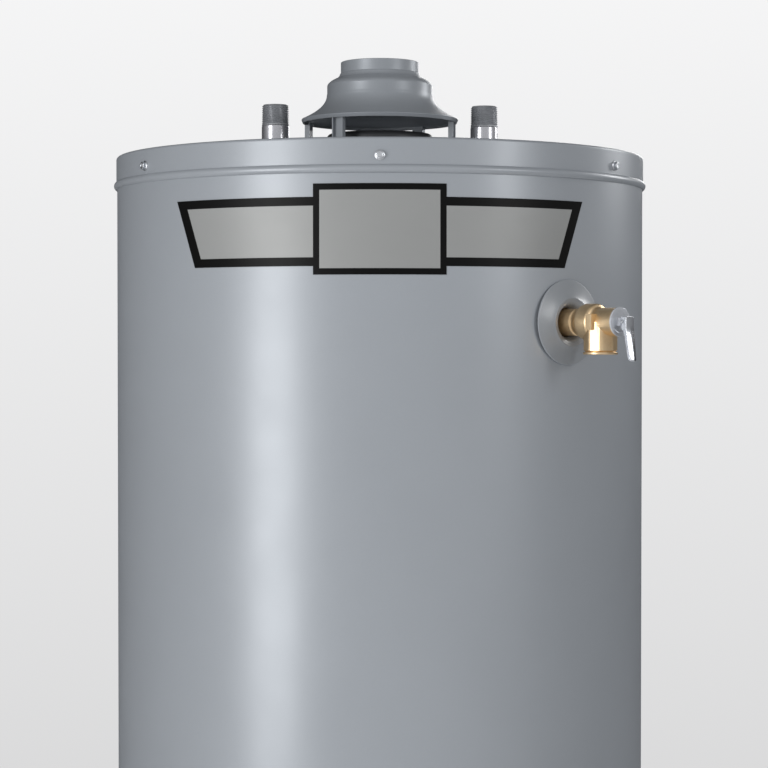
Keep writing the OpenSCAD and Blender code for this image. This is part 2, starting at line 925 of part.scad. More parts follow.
module control_cover()
    color([0.16, 0.17, 0.18])
        outward(0, control_z)
            difference() {
                translate([0, 0, plate_low])
                    linear_extrude(height = plate_high - plate_low)
                        round_rect(124, 90, 10);
                translate([0, 0, plate_low - OVER])
                    linear_extrude(height = plate_high - plate_low - 2)
                        round_rect(119, 85, 7.5);
                shaft_hole(dial_at, 6);
                shaft_hole(knob_at, 5);
                shaft_hole(pilot_at, 6);
                shaft_hole(igniter_at, 5.5);
            }

module shaft_hole(at, r)
    translate([at[0], at[1], plate_low])
        cylinder(r = r + shaft_play, h = 30);

module temperature_dial() {
    grips = 20;
    color([0.1, 0.1, 0.11])
        outward(0, control_z, dial_at[0], dial_at[1])
            difference() {
                union() {
                    translate([0, 0, plate_high - 10])
                        cylinder(r = 6, h = 11);
                    translate([0, 0, plate_high + 0.5])
                        cylinder(r = dial_d / 2, h = 4);
                    translate([0, 0, plate_high + 4])
                        cylinder(r = dial_d / 2 - 4, h = 9);
                }
                for (i = [0:grips - 1])
                    rotate([0, 0, 360 * i / grips])
                        translate([dial_d / 2 - 3, 0, plate_high + 5])
                            cylinder(r = 1.8, h = 10);
                translate([-0.6, dial_d / 2 - 12, plate_high + 12.2])
                    cube([1.2, 14, 2]);
            }
}

module gas_knob()
    color([0.12, 0.12, 0.13])
        outward(0, control_z, knob_at[0], knob_at[1]) {
            translate([0, 0, plate_high - 10])
                cylinder(r = 5, h = 11);
            translate([0, 0, plate_high + 0.5])
                cylinder(r = 15, h = 4);
            translate([-3, -14, plate_high + 4])
                cube([6, 28, 10]);
        }

module push_button(at, r, low)
    outward(0, control_z, at[0], at[1])
        translate([0, 0, low])
            cylinder(r = r, h = plate_high + button_travel + 3 - low);

module pilot_button()
    color([0.75, 0.12, 0.1])
        push_button(pilot_at, 6, plate_low + 6);

module igniter_body()
    color([0.1, 0.1, 0.1])
        outward(0, control_z, igniter_at[0], igniter_at[1])
            difference() {
                translate([0, 0, 296])
                    cylinder(r = 7.8, h = 34);
                translate([0, 0, 310])
                    cylinder(r = 5.5 + shaft_play, h = 40);
            }

module igniter_button()
    color([0.7, 0.1, 0.1])
        push_button(igniter_at, 5.5, 318);

module control_probe()
    color([0.75, 0.6, 0.4])
        outward(0, control_z)
            translate([0, 0, 90])
                cylinder(r = 4.6, h = tank_r - 7 - 90);

module tube_nuts()
    color([0.78, 0.63, 0.38]) {
        tube_nut(manifold_x, manifold_r, 19, 52.2);
        tube_nut(pilot_x, pilot_r, 10, 52.2);
        tube_nut(couple_x, couple_r, 8.6, 52.2);
    }

module tube_nut(x, r, across, drop)
    outward(0, control_z)
        translate([x, -drop, -line_y])
            rotate([90, 0, 0])
                difference() {
                    hex_bar(across, 8);
                    translate([0, 0, -OVER])
                        cylinder(r = r + 0.15, h = 20);
                }

module manifold_tube()
    color([0.75, 0.76, 0.78])
        swept(manifold_route, manifold_r, 26);

module pilot_tube()
    color([0.75, 0.76, 0.78])
        swept(pilot_route, pilot_r, 20, 10);

module thermocouple_lead()
    color([0.72, 0.45, 0.3])
        swept(couple_route, couple_r, 20, 8);

module igniter_lead()
    color([0.8, 0.8, 0.78])
        swept(spark_route, spark_r, 24, 8);

// ---------------------------------------------------------------- combustion chamber

// A pancake burner on three legs, its venturi and the orifice fitting
module burner() {
    hub_z = 144;
    color([0.45, 0.45, 0.46]) {
        rotate_extrude()
            polygon([[19, 159], [60, 159], [92, 166], [94, 169], [94, 173], [40, 181], [0, 183],
                [0, 180], [38, 178], [90, 171.4], [90, 168.6], [58, 162], [19, 162]]);
        difference() {
            union() {
                translate([0, 0, hub_z])
                    rotate([90, 0, 0])
                        cylinder(r = 17, h = 90);
                translate([0, 0, hub_z - 19])
                    cylinder(r = 21, h = 36);
            }
            translate([0, 0, hub_z])
                rotate([90, 0, 0])
                    cylinder(r = 15.4, h = 95);
            translate([0, 0, hub_z - 17])
                cylinder(r = 18.6, h = 60);
        }
        for (a = [30, 150, 270])
            rotate([0, 0, a - 60])
                translate([60, 0, base_h + 4])
                    cylinder(r = 3, h = 159.5 - base_h - 4);
    }
}

// Pilot hood, thermocouple tip and spark electrode on their bracket
module pilot_assembly()
    color([0.6, 0.6, 0.6]) {
        translate([21, -113, 165.3])
            cube([34, 14, 1.6]);
        translate([28, -106, 166.5])
            tube(5, 3.6, 20);
        translate([38, -106, 166.5])
            cylinder(r = 2.6, h = 28);
        translate([48, -106, 166.5])
            cylinder(r = 1.5, h = 30);
        translate([21, -113, 164])
            cube([3.5, 22.5, 2]);
    }

module inner_door()
    color([0.42, 0.43, 0.44])
        difference() {
            arc_plate(tank_r + 1.7, tank_r + 3.2, 86, 95, 246);
            line_hole(manifold_x, 154.5, 11);
            line_hole(21.4, 168, 6);
            line_hole(31.5, 171.5, 4);
            line_hole(41.5, 175.2, 4);
            door_screw_holes();
            outward(-13, 205)
                cylinder(r = 10, h = 300);
        }

module line_hole(x, z, r)
    translate([x, -tank_r + 30, z])
        rotate([90, 0, 0])
            cylinder(r = r, h = 60);

module door_screw_holes()
    for (s = door_screws)
        outward(asin(s[0] / tank_r), s[1])
            translate([0, 0, tank_r - 10])
                cylinder(r = screw_hole_r, h = 20);

module door_gasket()
    color([0.85, 0.84, 0.8])
        difference() {
            arc_plate(tank_r + 0.05, tank_r + 1.6, 84, 97, 244);
            translate([-window_half - 1, -tank_r - 5, window_low - 1])
                cube([2 * window_half + 2, 60, window_high - window_low + 2]);
            door_screw_holes();
        }

module inner_door_screws()
    color([0.8, 0.81, 0.83])
        for (s = door_screws)
            outward(asin(s[0] / tank_r), s[1])
                sheet_screw(tank_r + 3.3, 8);

module sight_glass()
    color([0.7, 0.8, 0.8])
        outward(-13, 205)
            translate([0, 0, tank_r + 3.3])
                cylinder(r = 13, h = 2.5);

// The lift-off cover over the access opening, notched at the top for the gas lines
module outer_door() {
    door_half = 114;
    notch_low = 250;
    color([0.60, 0.62, 0.64])
        difference() {
            union() {
                arc_plate(jacket_r + 0.5, jacket_r + 1.3, door_half, 84, 312);
                arc_plate(jacket_r + 1.2, jacket_r + 6, 34, 232, 236);
            }
            translate([-14, -jacket_r - 10, notch_low])
                cube([72, 60, 100]);
            for (i = [0:3])
                translate([-45, -jacket_r - 10, 112 + 16 * i])
                    cube([90, 40, 5]);
        }
}

// A perforated ceramic plate that lets air in and keeps flame from passing out
module flame_arrestor() {
    rings = [[20, 6], [40, 12], [60, 18], [80, 24]];
    color([0.75, 0.74, 0.7])
        difference() {
            union() {
                translate([0, 0, base_h + 1.3])
                    cylinder(r = 118, h = 1.5);
                translate([0, 0, base_h + 2.5])
                    cylinder(r = 98, h = 1.4);
                translate([0, 0, base_h - 8])
                    cylinder(r = 98, h = 10);
            }
            for (ring = rings, i = [0:ring[1] - 1])
                rotate([0, 0, 360 * i / ring[1]])
                    translate([ring[0], 0, base_h - 20])
                        cylinder(r = 3.2, h = 40);
        }
}

jacket();
top_cover();
cover_screws();
anode_cap();
bottom_pan();
base_ring();
base_screws();
label_plate();
tank_shell();
tank_top_head();
tank_bottom_head();
tank_spuds();
flue_tube();
flue_baffle();
foam_insulation();
chamber_insulation();
cold_nipple();
hot_nipple();
nipple_liners();
dip_tube();
anode_rod();
drain_body();
drain_bonnet();
drain_washer();
drain_stem();
drain_handwheel();
drain_wheel_screw();
relief_escutcheon();
relief_body();
relief_cap();
relief_stem();
relief_spring();
relief_probe();
relief_lever();
relief_pin();
flue_collar();
draft_hood();
hood_legs();
hood_screws();
control_body();
control_cover();
temperature_dial();
gas_knob();
pilot_button();
igniter_body();
igniter_button();
control_probe();
tube_nuts();
manifold_tube();
pilot_tube();
thermocouple_lead();
igniter_lead();
burner();
pilot_assembly();
inner_door();
door_gasket();
inner_door_screws();
sight_glass();
outer_door();
flame_arrestor();
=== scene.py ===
"""Looks of a free-standing gas water heater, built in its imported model's own frame.

Shapes are drawn in millimetres and leave as pieces in metres. The origin is on the tank's axis at
floor level, +Z is up and -Y is the front. An azimuth is measured from the front, to the right.
"""

import json
import logging
import math
from collections.abc import Callable, Sequence
from dataclasses import dataclass
from enum import Enum

import bmesh
import bpy
from mathutils import Matrix, Vector


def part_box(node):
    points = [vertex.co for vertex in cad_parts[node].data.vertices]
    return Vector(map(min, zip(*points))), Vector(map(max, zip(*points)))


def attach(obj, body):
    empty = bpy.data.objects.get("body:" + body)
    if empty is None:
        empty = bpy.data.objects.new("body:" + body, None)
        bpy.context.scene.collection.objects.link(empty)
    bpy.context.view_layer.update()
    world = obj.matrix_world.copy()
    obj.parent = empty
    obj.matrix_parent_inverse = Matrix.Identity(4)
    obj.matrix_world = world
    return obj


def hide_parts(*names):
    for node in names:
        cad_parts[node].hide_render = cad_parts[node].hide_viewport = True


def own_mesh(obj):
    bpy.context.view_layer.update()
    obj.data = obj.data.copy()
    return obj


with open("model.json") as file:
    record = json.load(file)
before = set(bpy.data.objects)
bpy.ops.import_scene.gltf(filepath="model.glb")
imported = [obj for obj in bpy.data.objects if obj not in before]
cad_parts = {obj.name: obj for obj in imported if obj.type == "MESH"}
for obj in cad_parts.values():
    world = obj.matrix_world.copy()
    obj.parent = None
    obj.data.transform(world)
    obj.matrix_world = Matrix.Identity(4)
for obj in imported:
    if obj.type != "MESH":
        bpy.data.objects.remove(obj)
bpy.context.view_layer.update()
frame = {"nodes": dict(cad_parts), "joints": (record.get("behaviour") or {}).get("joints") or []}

log = logging.getLogger("water_heater")

MM = 0.001
AXIS = 1e-6

Colour = tuple[float, float, float]
Flat = tuple[float, float]
Outline = Sequence[Flat]
RadiusRule = Callable[[float, float, float], float]


# ------------------------------------------------------------------ reading the frame


def low(node: str) -> Vector:
    """Lowest corner of a node, in millimetres."""
    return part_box(node)[0] / MM


def high(node: str) -> Vector:
    """Highest corner of a node, in millimetres."""
    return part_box(node)[1] / MM


def middle(node: str) -> Vector:
    """Centre of a node's box, in millimetres."""
    return (low(node) + high(node)) / 2


def joint_azimuth(name: str) -> float:
    """Azimuth that a joint's axis points to.

    Args:
        name: the joint's name.

    Returns:
        The azimuth in degrees.
    """
    axis = next(j["axis"] for j in frame["joints"] if j["name"] == name)
    return math.degrees(math.atan2(axis[0], -axis[1]))


SHANK_R = 13.3
COVER_TOP = high("top_cover").z
JACKET_R = high("jacket").x


# ------------------------------------------------------------------ outlines and places


def spin(angle: float) -> Matrix:
    """A turn about Z, in degrees."""
    return Matrix.Rotation(math.radians(angle), 4, "Z")


def outward(azimuth: float, height: float, side: float = 0.0, rise: float = 0.0) -> Matrix:
    """A place whose +Z points away from the tank's axis, +X to the viewer's right and +Y up.

    Args:
        azimuth: direction in degrees.
        height: height above the floor.
        side: shift to the right.
        rise: shift upwards.

    Returns:
        The place's matrix, in which Z is the distance from the tank's axis.
    """
    turn = spin(azimuth)
    return turn @ Matrix.Translation((side, 0, height + rise)) @ Matrix.Rotation(math.pi / 2, 4, "X")


def upright(x: float = 0.0, y: float = 0.0, z: float = 0.0, turn: float = 0.0) -> Matrix:
    """A place whose +Z points up.

    Args:
        x: distance to the right of the tank's axis.
        y: distance behind it.
        z: height above the floor.
        turn: turn of the place about the tank's axis, in degrees.

    Returns:
        The place's matrix.
    """
    return spin(turn) @ Matrix.Translation((x, y, z))


DOWNWARD = Matrix.Rotation(math.pi / 2, 4, "X")
RIGHTWARD = Matrix.Rotation(math.pi / 2, 4, "Y")


def arc(cx: float, cy: float, r: float, start: float, end: float, steps: int = 8) -> list[Flat]:
    """Points along an arc.

    Args:
        cx: centre's first coordinate.
        cy: centre's second coordinate.
        r: radius.
        start: first angle in degrees.
        end: last angle in degrees.
        steps: number of chords.

    Returns:
        The points, both ends included.
    """
    angles = [math.radians(start + (end - start) * i / steps) for i in range(steps + 1)]
    return [(cx + r * math.cos(a), cy + r * math.sin(a)) for a in angles]


def curve(start: Flat, pull: Flat, end: Flat, steps: int = 12) -> list[Flat]:
    """Points along a curve that leaves start towards pull and arrives at end from it.

    Args:
        start: first point.
        pull: the corner that the curve rounds off.
        end: last point.
        steps: number of chords.

    Returns:
        The points, both ends included.
    """
    a, b, c = Vector(start), Vector(pull), Vector(end)
    shares = [i / steps for i in range(steps + 1)]
    return [tuple(a.lerp(b, t).lerp(b.lerp(c, t), t)) for t in shares]


def rounded(width: float, height: float, radius: float, steps: int = 6) -> list[Flat]:
    """A rounded rectangle round the origin.

    Args:
        width: size along X.
        height: size along Y.
        radius: corner radius.
        steps: chords in each corner.

    Returns:
        The outline, anticlockwise.
    """
    x, y = width / 2 - radius, height / 2 - radius
    corners = [(x, y, 0), (-x, y, 90), (-x, -y, 180), (x, -y, 270)]
    return [p for cx, cy, a in corners for p in arc(cx, cy, radius, a, a + 90, steps)]


def rectangle(x: float, y: float, width: float, height: float) -> list[Flat]:
    """A rectangle by its lower left corner and its size."""
    return [(x, y), (x + width, y), (x + width, y + height), (x, y + height)]


def rod(r: float, start: float, end: float) -> list[Flat]:
    """The turned outline of a plain rod: radius, and its two ends' heights."""
    return [(0, start), (r, start), (r, end), (0, end)]


def climb(start: float, end: float, step: float) -> list[float]:
    """Heights from start to end that are about a step apart."""
    count = max(1, round(abs(end - start) / step))
    return [start + (end - start) * i / count for i in range(count + 1)]


def smooth_route(stations: Sequence[Sequence[float]], bend: float, steps: int = 12) -> list[Vector]:
    """Rounds the corners of a tube's route.

    Args:
        stations: the route's given points.
        bend: how far before a station its bend may start.
        steps: chords in each bend.

    Returns:
        The points of the rounded route.
    """
    points = [Vector(stations[0])]
    for before, here, after in zip(stations, stations[1:], stations[2:]):
        a, b, c = Vector(before), Vector(here), Vector(after)
        start = b + (a - b).normalized() * min(bend, (a - b).length * 0.45)
        end = b + (c - b).normalized() * min(bend, (c - b).length * 0.45)
        points += [start.lerp(b, i / steps).lerp(b.lerp(end, i / steps), i / steps) for i in range(steps + 1)]
    return [*points, Vector(stations[-1])]


def flats(sides: int, start: float, end: float, turn: float = 0.0, corner: float = 2.0) -> RadiusRule:
    """A rule that gives a turned shape flat sides between two heights.

    Args:
        sides: number of flats.
        start: lowest height of the flats.
        end: highest height of the flats.
        turn: turn of the flats in degrees.
        corner: how far out the corners reach, as a multiple of the radius.

    Returns:
        The rule; the outline's radius is half the distance across flats.
    """
    share = 2 * math.pi / sides

    def rule(r: float, z: float, angle: float) -> float:
        """Radius at a height and angle."""
        if not start <= z <= end:
            return r
        off = (angle - math.radians(turn) + share / 2) % share - share / 2
        return r * min(1 / math.cos(off), corner)

    return rule


def thread(pitch: float, depth: float, start: float, end: float, over: float, under: float) -> RadiusRule:
    """A rule that cuts a helical thread into a turned shape.

    Args:
        pitch: distance between turns.
        depth: depth of the groove, negative for a thread inside a bore.
        start: height where the thread begins.
        end: height where it ends.
        over: smallest radius that is threaded.
        under: largest radius that is threaded.

    Returns:
        The rule.
    """

    def rule(r: float, z: float, angle: float) -> float:
        """Radius at a height and angle."""
        if not (start < z < end and over <= r <= under):
            return r
        phase = (z / pitch - angle / (2 * math.pi)) % 1
        groove = min(1.0, max(0.0, (abs(2 * phase - 1) - 0.12) / 0.76))
        fade = min(1.0, (z - start) / pitch, (end - z) / pitch)
        return r - depth * groove * fade

    return rule


def scallops(count: int, depth: float, start: float, end: float, over: float) -> RadiusRule:
    """A rule that presses rounded finger notches into a turned shape.

    Args:
        count: number of notches.
        depth: depth of a notch.
        start: lowest height of the notches.
        end: highest height of the notches.
        over: smallest radius that is notched.

    Returns:
        The rule.
    """

    def rule(r: float, z: float, angle: float) -> float:
        """Radius at a height and angle."""
        if not (start <= z <= end and r >= over):
            return r
        return r - depth * max(0.0, math.cos(count * angle)) ** 0.8

    return rule


# ------------------------------------------------------------------ shapes


class Shape:
    """A closed form under construction, in millimetres."""

    def __init__(self, place: Matrix | None = None) -> None:
        """Starts an empty form.

        Args:
            place: where the next parts are drawn.
        """
        self.place = place or Matrix.Identity(4)
        self.points: list[Vector] = []
        self.faces: list[list[int]] = []

    def at(self, place: Matrix) -> "Shape":
        """Moves the drawing place."""
        self.place = place
        return self

    def add(self, points: Sequence[Sequence[float]], faces: Sequence[Sequence[int]]) -> "Shape":
        """Adds a closed shell at the drawing place.

        Args:
            points: the shell's points.
            faces: its faces, as places in points.

        Returns:
            This shape.
        """
        first = len(self.points)
        self.points += [self.place @ Vector(p) for p in points]
        self.faces += [[first + i for i in face] for face in faces]
        return self

    def turned(self, outline: Outline, segments: int = 96, rule: RadiusRule | None = None) -> "Shape":
        """Turns an outline about the place's Z axis.

        Args:
            outline: (radius, height) points, a loop clear of the axis or a line with both ends on it.
            segments: chords in a full turn.
            rule: changes a point's radius by its height and angle, for flats, threads and notches.

        Returns:
            This shape.
        """
        rings: list[list[int]] = []
        points: list[tuple[float, float, float]] = []
        for r, z in outline:
            count = 1 if r < AXIS else segments
            rings.append([len(points) + k for k in range(count)])
            for k in range(count):
                angle = 2 * math.pi * k / segments
                reach = rule(r, z, angle) if rule and count > 1 else r
                points.append((reach * math.cos(angle), reach * math.sin(angle), z))
        pairs = list(zip(rings, rings[1:]))
        if len(rings[0]) > 1:
            pairs.append((rings[-1], rings[0]))
        faces = []
        for below, above in pairs:
            for k in range(segments):
                loop = [below[k % len(below)], below[(k + 1) % len(below)],
                        above[(k + 1) % len(above)], above[k % len(above)]]
                face = list(dict.fromkeys(loop))
                if len(face) > 2:
                    faces.append(face)
        return self.add(points, faces)

    def lofted(self, sections: Sequence[Sequence[Sequence[float]]]) -> "Shape":
        """Skins closed loops that have the same number of points.

        Args:
            sections: the loops, from one end to the other.

        Returns:
            This shape.
        """
        n = len(sections[0])
        points = [p for section in sections for p in section]
        faces = [list(range(n))[::-1], [(len(sections) - 1) * n + k for k in range(n)]]
        for s in range(len(sections) - 1):
            a, b = s * n, (s + 1) * n
            faces += [[a + k, a + (k + 1) % n, b + (k + 1) % n, b + k] for k in range(n)]
        return self.add(points, faces)

    def extruded(self, outline: Outline, start: float, end: float) -> "Shape":
        """Extrudes a flat outline along the place's Z axis."""
        return self.lofted([[(x, y, z) for x, y in outline] for z in (start, end)])

    def swept(self, route: Sequence[Vector], radius: float, sides: int = 24) -> "Shape":
        """Sweeps a round tube along a route.

        Args:
            route: the points of its centreline.
            radius: the tube's radius.
            sides: chords round the tube.

        Returns:
            This shape.
        """
        sections = []
        side = Vector((1, 0, 0))
        for i, here in enumerate(route):
            ahead = (route[min(i + 1, len(route) - 1)] - route[max(i - 1, 0)]).normalized()
            side = (side - ahead * side.dot(ahead)).normalized()
            up = ahead.cross(side)
            turns = [2 * math.pi * k / sides for k in range(sides)]
            sections.append([here + radius * (math.cos(a) * side + math.sin(a) * up) for a in turns])
        return self.lofted(sections)

    def wrapped(self, corners: Sequence[Flat], r_in: float, r_out: float, columns: int = 64) -> "Shape":
        """Wraps a four-cornered plate round the front of the tank's axis.

        Args:
            corners: (x, z) as seen from the front: lower left, lower right, upper right, upper left.
            r_in: radius of the plate's back.
            r_out: radius of the plate's face.
            columns: chords across the plate.

        Returns:
            This shape.
        """
        a, b, c, d = (Vector(p) for p in corners)
        sections = []
        for i in range(columns + 1):
            below, above = a.lerp(b, i / columns), d.lerp(c, i / columns)
            loop = [(below, r_in), (below, r_out), (above, r_out), (above, r_in)]
            sections.append([(p.x, -math.sqrt(r * r - p.x * p.x), p.y) for p, r in loop])
        return self.lofted(sections)

    def rough_object(self, name: str) -> bpy.types.Object:
        """Makes a plain mesh object of the shape, in metres.

        Args:
            name: the object's name.

        Returns:
            The object, linked to the scene.
        """
        mesh = bpy.data.meshes.new(name)
        mesh.from_pydata([tuple(p * MM) for p in self.points], [], self.faces)
        work = bmesh.new()
        work.from_mesh(mesh)
        bmesh.ops.recalc_face_normals(work, faces=work.faces)
        work.to_mesh(mesh)
        work.free()
        made = bpy.data.objects.new(name, mesh)
        bpy.context.scene.collection.objects.link(made)
        return made

    def built(self, name: str, bevel: float = 0.0, joined: Sequence["Shape"] = (),
              cut: Sequence["Shape"] = (), steps: int = 2) -> bpy.types.Object:
        """Makes the finished piece: parts joined, holes cut, edges broken.

        Args:
            name: the piece's name.
            bevel: width of the broken edges in millimetres, or 0 for none.
            joined: shapes that are welded on.
            cut: shapes that are taken away.
            steps: chords across a broken edge.

        Returns:
            The piece.
        """
        piece = self.rough_object(name)
        tools = []
        for operation, shapes in (("UNION", joined), ("DIFFERENCE", cut)):
            for shape in shapes:
                tool = shape.rough_object("tool")
                work = piece.modifiers.new(operation, "BOOLEAN")
                work.operation, work.object, work.solver = operation, tool, "EXACT"
                tools.append(tool)
        round_off(piece, bevel, steps)
        for tool in tools:
            bpy.data.objects.remove(tool)
        return piece


def settle(piece: bpy.types.Object) -> None:
    """Turns a piece's modifiers into its mesh."""
    bpy.context.view_layer.update()
    graph = bpy.context.evaluated_depsgraph_get()
    mesh = bpy.data.meshes.new_from_object(piece.evaluated_get(graph), depsgraph=graph)
    piece.modifiers.clear()
    piece.data = mesh
    mesh.name = piece.name


def round_off(piece: bpy.types.Object, bevel: float, steps: int) -> None:
    """Breaks a piece's edges and shades it smooth between them.

    Args:
        piece: the piece, whose other modifiers are applied too.
        bevel: width of the broken edges in millimetres, or 0 for none.
        steps: chords across a broken edge.
    """
    if bevel:
        edge = piece.modifiers.new("edges", "BEVEL")
        edge.width, edge.segments = bevel * MM, steps
        edge.limit_method, edge.angle_limit = "ANGLE", math.radians(32)
        edge.miter_outer = "MITER_ARC"
        edge.use_clamp_overlap = True
    settle(piece)
    piece.data.shade_smooth()
    piece.data.set_sharp_from_angle(angle=math.radians(42))
    even = piece.modifiers.new("even", "WEIGHTED_NORMAL")
    even.keep_sharp = True
    settle(piece)


def eased_copy(node: str, name: str, bevel: float) -> bpy.types.Object:
    """Copies a node's mesh, merges its faces and breaks its edges.

    Args:
        node: the node to copy.
        name: the new piece's name.
        bevel: width of the broken edges in millimetres.

    Returns:
        The piece.
    """
    mesh = frame["nodes"][node].data.copy()
    work = bmesh.new()
    work.from_mesh(mesh)
    bmesh.ops.remove_doubles(work, verts=work.verts, dist=0.002 * MM)
    bmesh.ops.dissolve_limit(work, angle_limit=math.radians(1), verts=work.verts, edges=work.edges)
    work.to_mesh(mesh)
    work.free()
    piece = bpy.data.objects.new(name, mesh)
    bpy.context.scene.collection.objects.link(piece)
    round_off(piece, bevel, 2)
    return piece


# ------------------------------------------------------------------ finishes


@dataclass(frozen=True)
class GrainRule:
    """How a grain is drawn: cell or cloud, stretch, and its share of colour and gloss."""

    cells: bool
    detail: float
    stretch: tuple[float, float, float]
    tint: float
    gloss: float


class Grain(Enum):
    """The kinds of surface grain in this appliance."""

    PEEL = GrainRule(False, 1.0, (1, 1, 1), 0.25, 0.3)
    DRAWN = GrainRule(False, 3.0, (1, 1, 14), 0.35, 0.6)
    ROLLED = GrainRule(False, 3.0, (14, 14, 1), 0.3, 0.6)
    CAST = GrainRule(False, 6.0, (1, 1, 1), 0.45, 0.5)
    SPANGLE = GrainRule(True, 0.0, (1, 1, 1), 0.7, 0.8)
    MOULDED = GrainRule(True, 0.0, (1, 1, 1), 0.15, 0.3)
    FIBRE = GrainRule(False, 4.0, (7, 1, 1), 0.6, 0.3)
    FOAMED = GrainRule(True, 0.0, (1, 1, 1), 0.5, 0.3)
    SCALE = GrainRule(False, 8.0, (1, 1, 1), 0.6, 0.7)


class Graph:
    """Builds the nodes of one procedural material, in the piece's own coordinates."""

    def __init__(self, name: str) -> None:
        """Starts a material.

        Args:
            name: the material's name.
        """
        self.material = bpy.data.materials.new(name)
        self.material.use_nodes = True
        self.tree = self.material.node_tree
        self.shader = self.tree.nodes["Principled BSDF"]
        self.coordinates = self.tree.nodes.new("ShaderNodeTexCoord").outputs["Object"]

    def mapped(self, size: float, stretch: Sequence[float]) -> bpy.types.NodeSocket:
        """Coordinates in which a feature of a given size, in millimetres, is one unit."""
        node = self.tree.nodes.new("ShaderNodeMapping")
        node.inputs["Scale"].default_value = [1 / (size * MM * s) for s in stretch]
        self.tree.links.new(self.coordinates, node.inputs["Vector"])
        return node.outputs["Vector"]

    def cloud(self, size: float, detail: float, stretch: Sequence[float] = (1, 1, 1)) -> bpy.types.NodeSocket:
        """A soft random field.

        Args:
            size: size of its features in millimetres.
            detail: octaves of finer features.
            stretch: stretch of the features along each axis.

        Returns:
            The field, mostly between 0.3 and 0.7.
        """
        node = self.tree.nodes.new("ShaderNodeTexNoise")
        node.inputs["Scale"].default_value = 1.0
        node.inputs["Detail"].default_value = detail
        self.tree.links.new(self.mapped(size, stretch), node.inputs["Vector"])
        return node.outputs[0]

    def cells(self, size: float) -> tuple[bpy.types.NodeSocket, bpy.types.NodeSocket]:
        """A random cell pattern.

        Args:
            size: size of a cell in millimetres.

        Returns:
            The distance from a cell's centre, and a random value per cell.
        """
        node = self.tree.nodes.new("ShaderNodeTexVoronoi")
        node.inputs["Scale"].default_value = 1.0
        self.tree.links.new(self.mapped(size, (1, 1, 1)), node.inputs["Vector"])
        return node.outputs["Distance"], node.outputs["Color"]

    def ranged(self, value: bpy.types.NodeSocket, start: float, end: float) -> bpy.types.NodeSocket:
        """Stretches a soft field to the range from start to end."""
        node = self.tree.nodes.new("ShaderNodeMapRange")
        self.tree.links.new(value, node.inputs["Value"])
        for name, number in (("From Min", 0.3), ("From Max", 0.7), ("To Min", start), ("To Max", end)):
            node.inputs[name].default_value = number
        return node.outputs["Result"]

    def mixed(self, share: float, a: bpy.types.NodeSocket, b: bpy.types.NodeSocket) -> bpy.types.NodeSocket:
        """Mixes two fields, with b's share from 0 to 1."""
        node = self.tree.nodes.new("ShaderNodeMix")
        node.inputs[0].default_value = share
        self.tree.links.new(a, node.inputs[2])
        self.tree.links.new(b, node.inputs[3])
        return node.outputs[0]

    def tinted(self, value: bpy.types.NodeSocket, dark: Colour, light: Colour) -> bpy.types.NodeSocket:
        """A colour that runs from dark to light with a value."""
        node = self.tree.nodes.new("ShaderNodeMix")
        node.data_type = "RGBA"
        node.inputs[6].default_value = (*dark, 1)
        node.inputs[7].default_value = (*light, 1)
        self.tree.links.new(value, node.inputs[0])
        return node.outputs[2]

    def relief(self, height: bpy.types.NodeSocket, depth: float,
               under: bpy.types.NodeSocket | None = None) -> bpy.types.NodeSocket:
        """Bumps the surface.

        Args:
            height: the field to raise.
            depth: its full height in millimetres.
            under: normals of a coarser bump below.

        Returns:
            The bumped normals.
        """
        node = self.tree.nodes.new("ShaderNodeBump")
        node.inputs["Distance"].default_value = depth * MM
        self.tree.links.new(height, node.inputs["Height"])
        if under is not None:
            self.tree.links.new(under, node.inputs["Normal"])
        return node.outputs["Normal"]


@dataclass(frozen=True)
class Finish:
    """One surface finish; colours are linear, sizes in millimetres.

    The colour drifts between dark and light, and the roughness between the two of rough.
    """

    name: str
    dark: Colour
    light: Colour
    rough: tuple[float, float]
    grain: Grain
    grain_size: float
    depth: float
    drift: float = 70.0
    metallic: float = 0.0
    coat: float = 0.0
    ripple: float = 0.0
    clear: float = 0.0
    gleam: float = 0.5

    def material(self) -> bpy.types.Material:
        """Builds the finish's material once.

        Returns:
            The material.
        """
        label = self.name + "_finish"
        known = bpy.data.materials.get(label)
        if known:
            return known
        g = Graph(label)
        rule = self.grain.value
        drift = g.cloud(self.drift, 3.0)
        if rule.cells:
            height, per_cell = g.cells(self.grain_size)
        else:
            height = g.cloud(self.grain_size, rule.detail, rule.stretch)
            per_cell = height
        shade = g.ranged(g.mixed(rule.tint, drift, per_cell), 0.0, 1.0)
        gloss = g.ranged(g.mixed(rule.gloss, g.cloud(self.drift / 3, 2.0), per_cell), *self.rough)
        normal = None
        if self.ripple:
            normal = g.relief(g.cloud(90.0, 1.0, (1, 1, 8)), self.ripple)
        normal = g.relief(height, self.depth, normal)
        links = g.tree.links
        links.new(g.tinted(shade, self.dark, self.light), g.shader.inputs["Base Color"])
        links.new(gloss, g.shader.inputs["Roughness"])
        links.new(normal, g.shader.inputs["Normal"])
        g.shader.inputs["Metallic"].default_value = self.metallic
        g.shader.inputs["Specular IOR Level"].default_value = self.gleam
        g.shader.inputs["Coat Weight"].default_value = self.coat
        g.shader.inputs["Coat Roughness"].default_value = 0.18
        g.shader.inputs["Transmission Weight"].default_value = self.clear
        return g.material


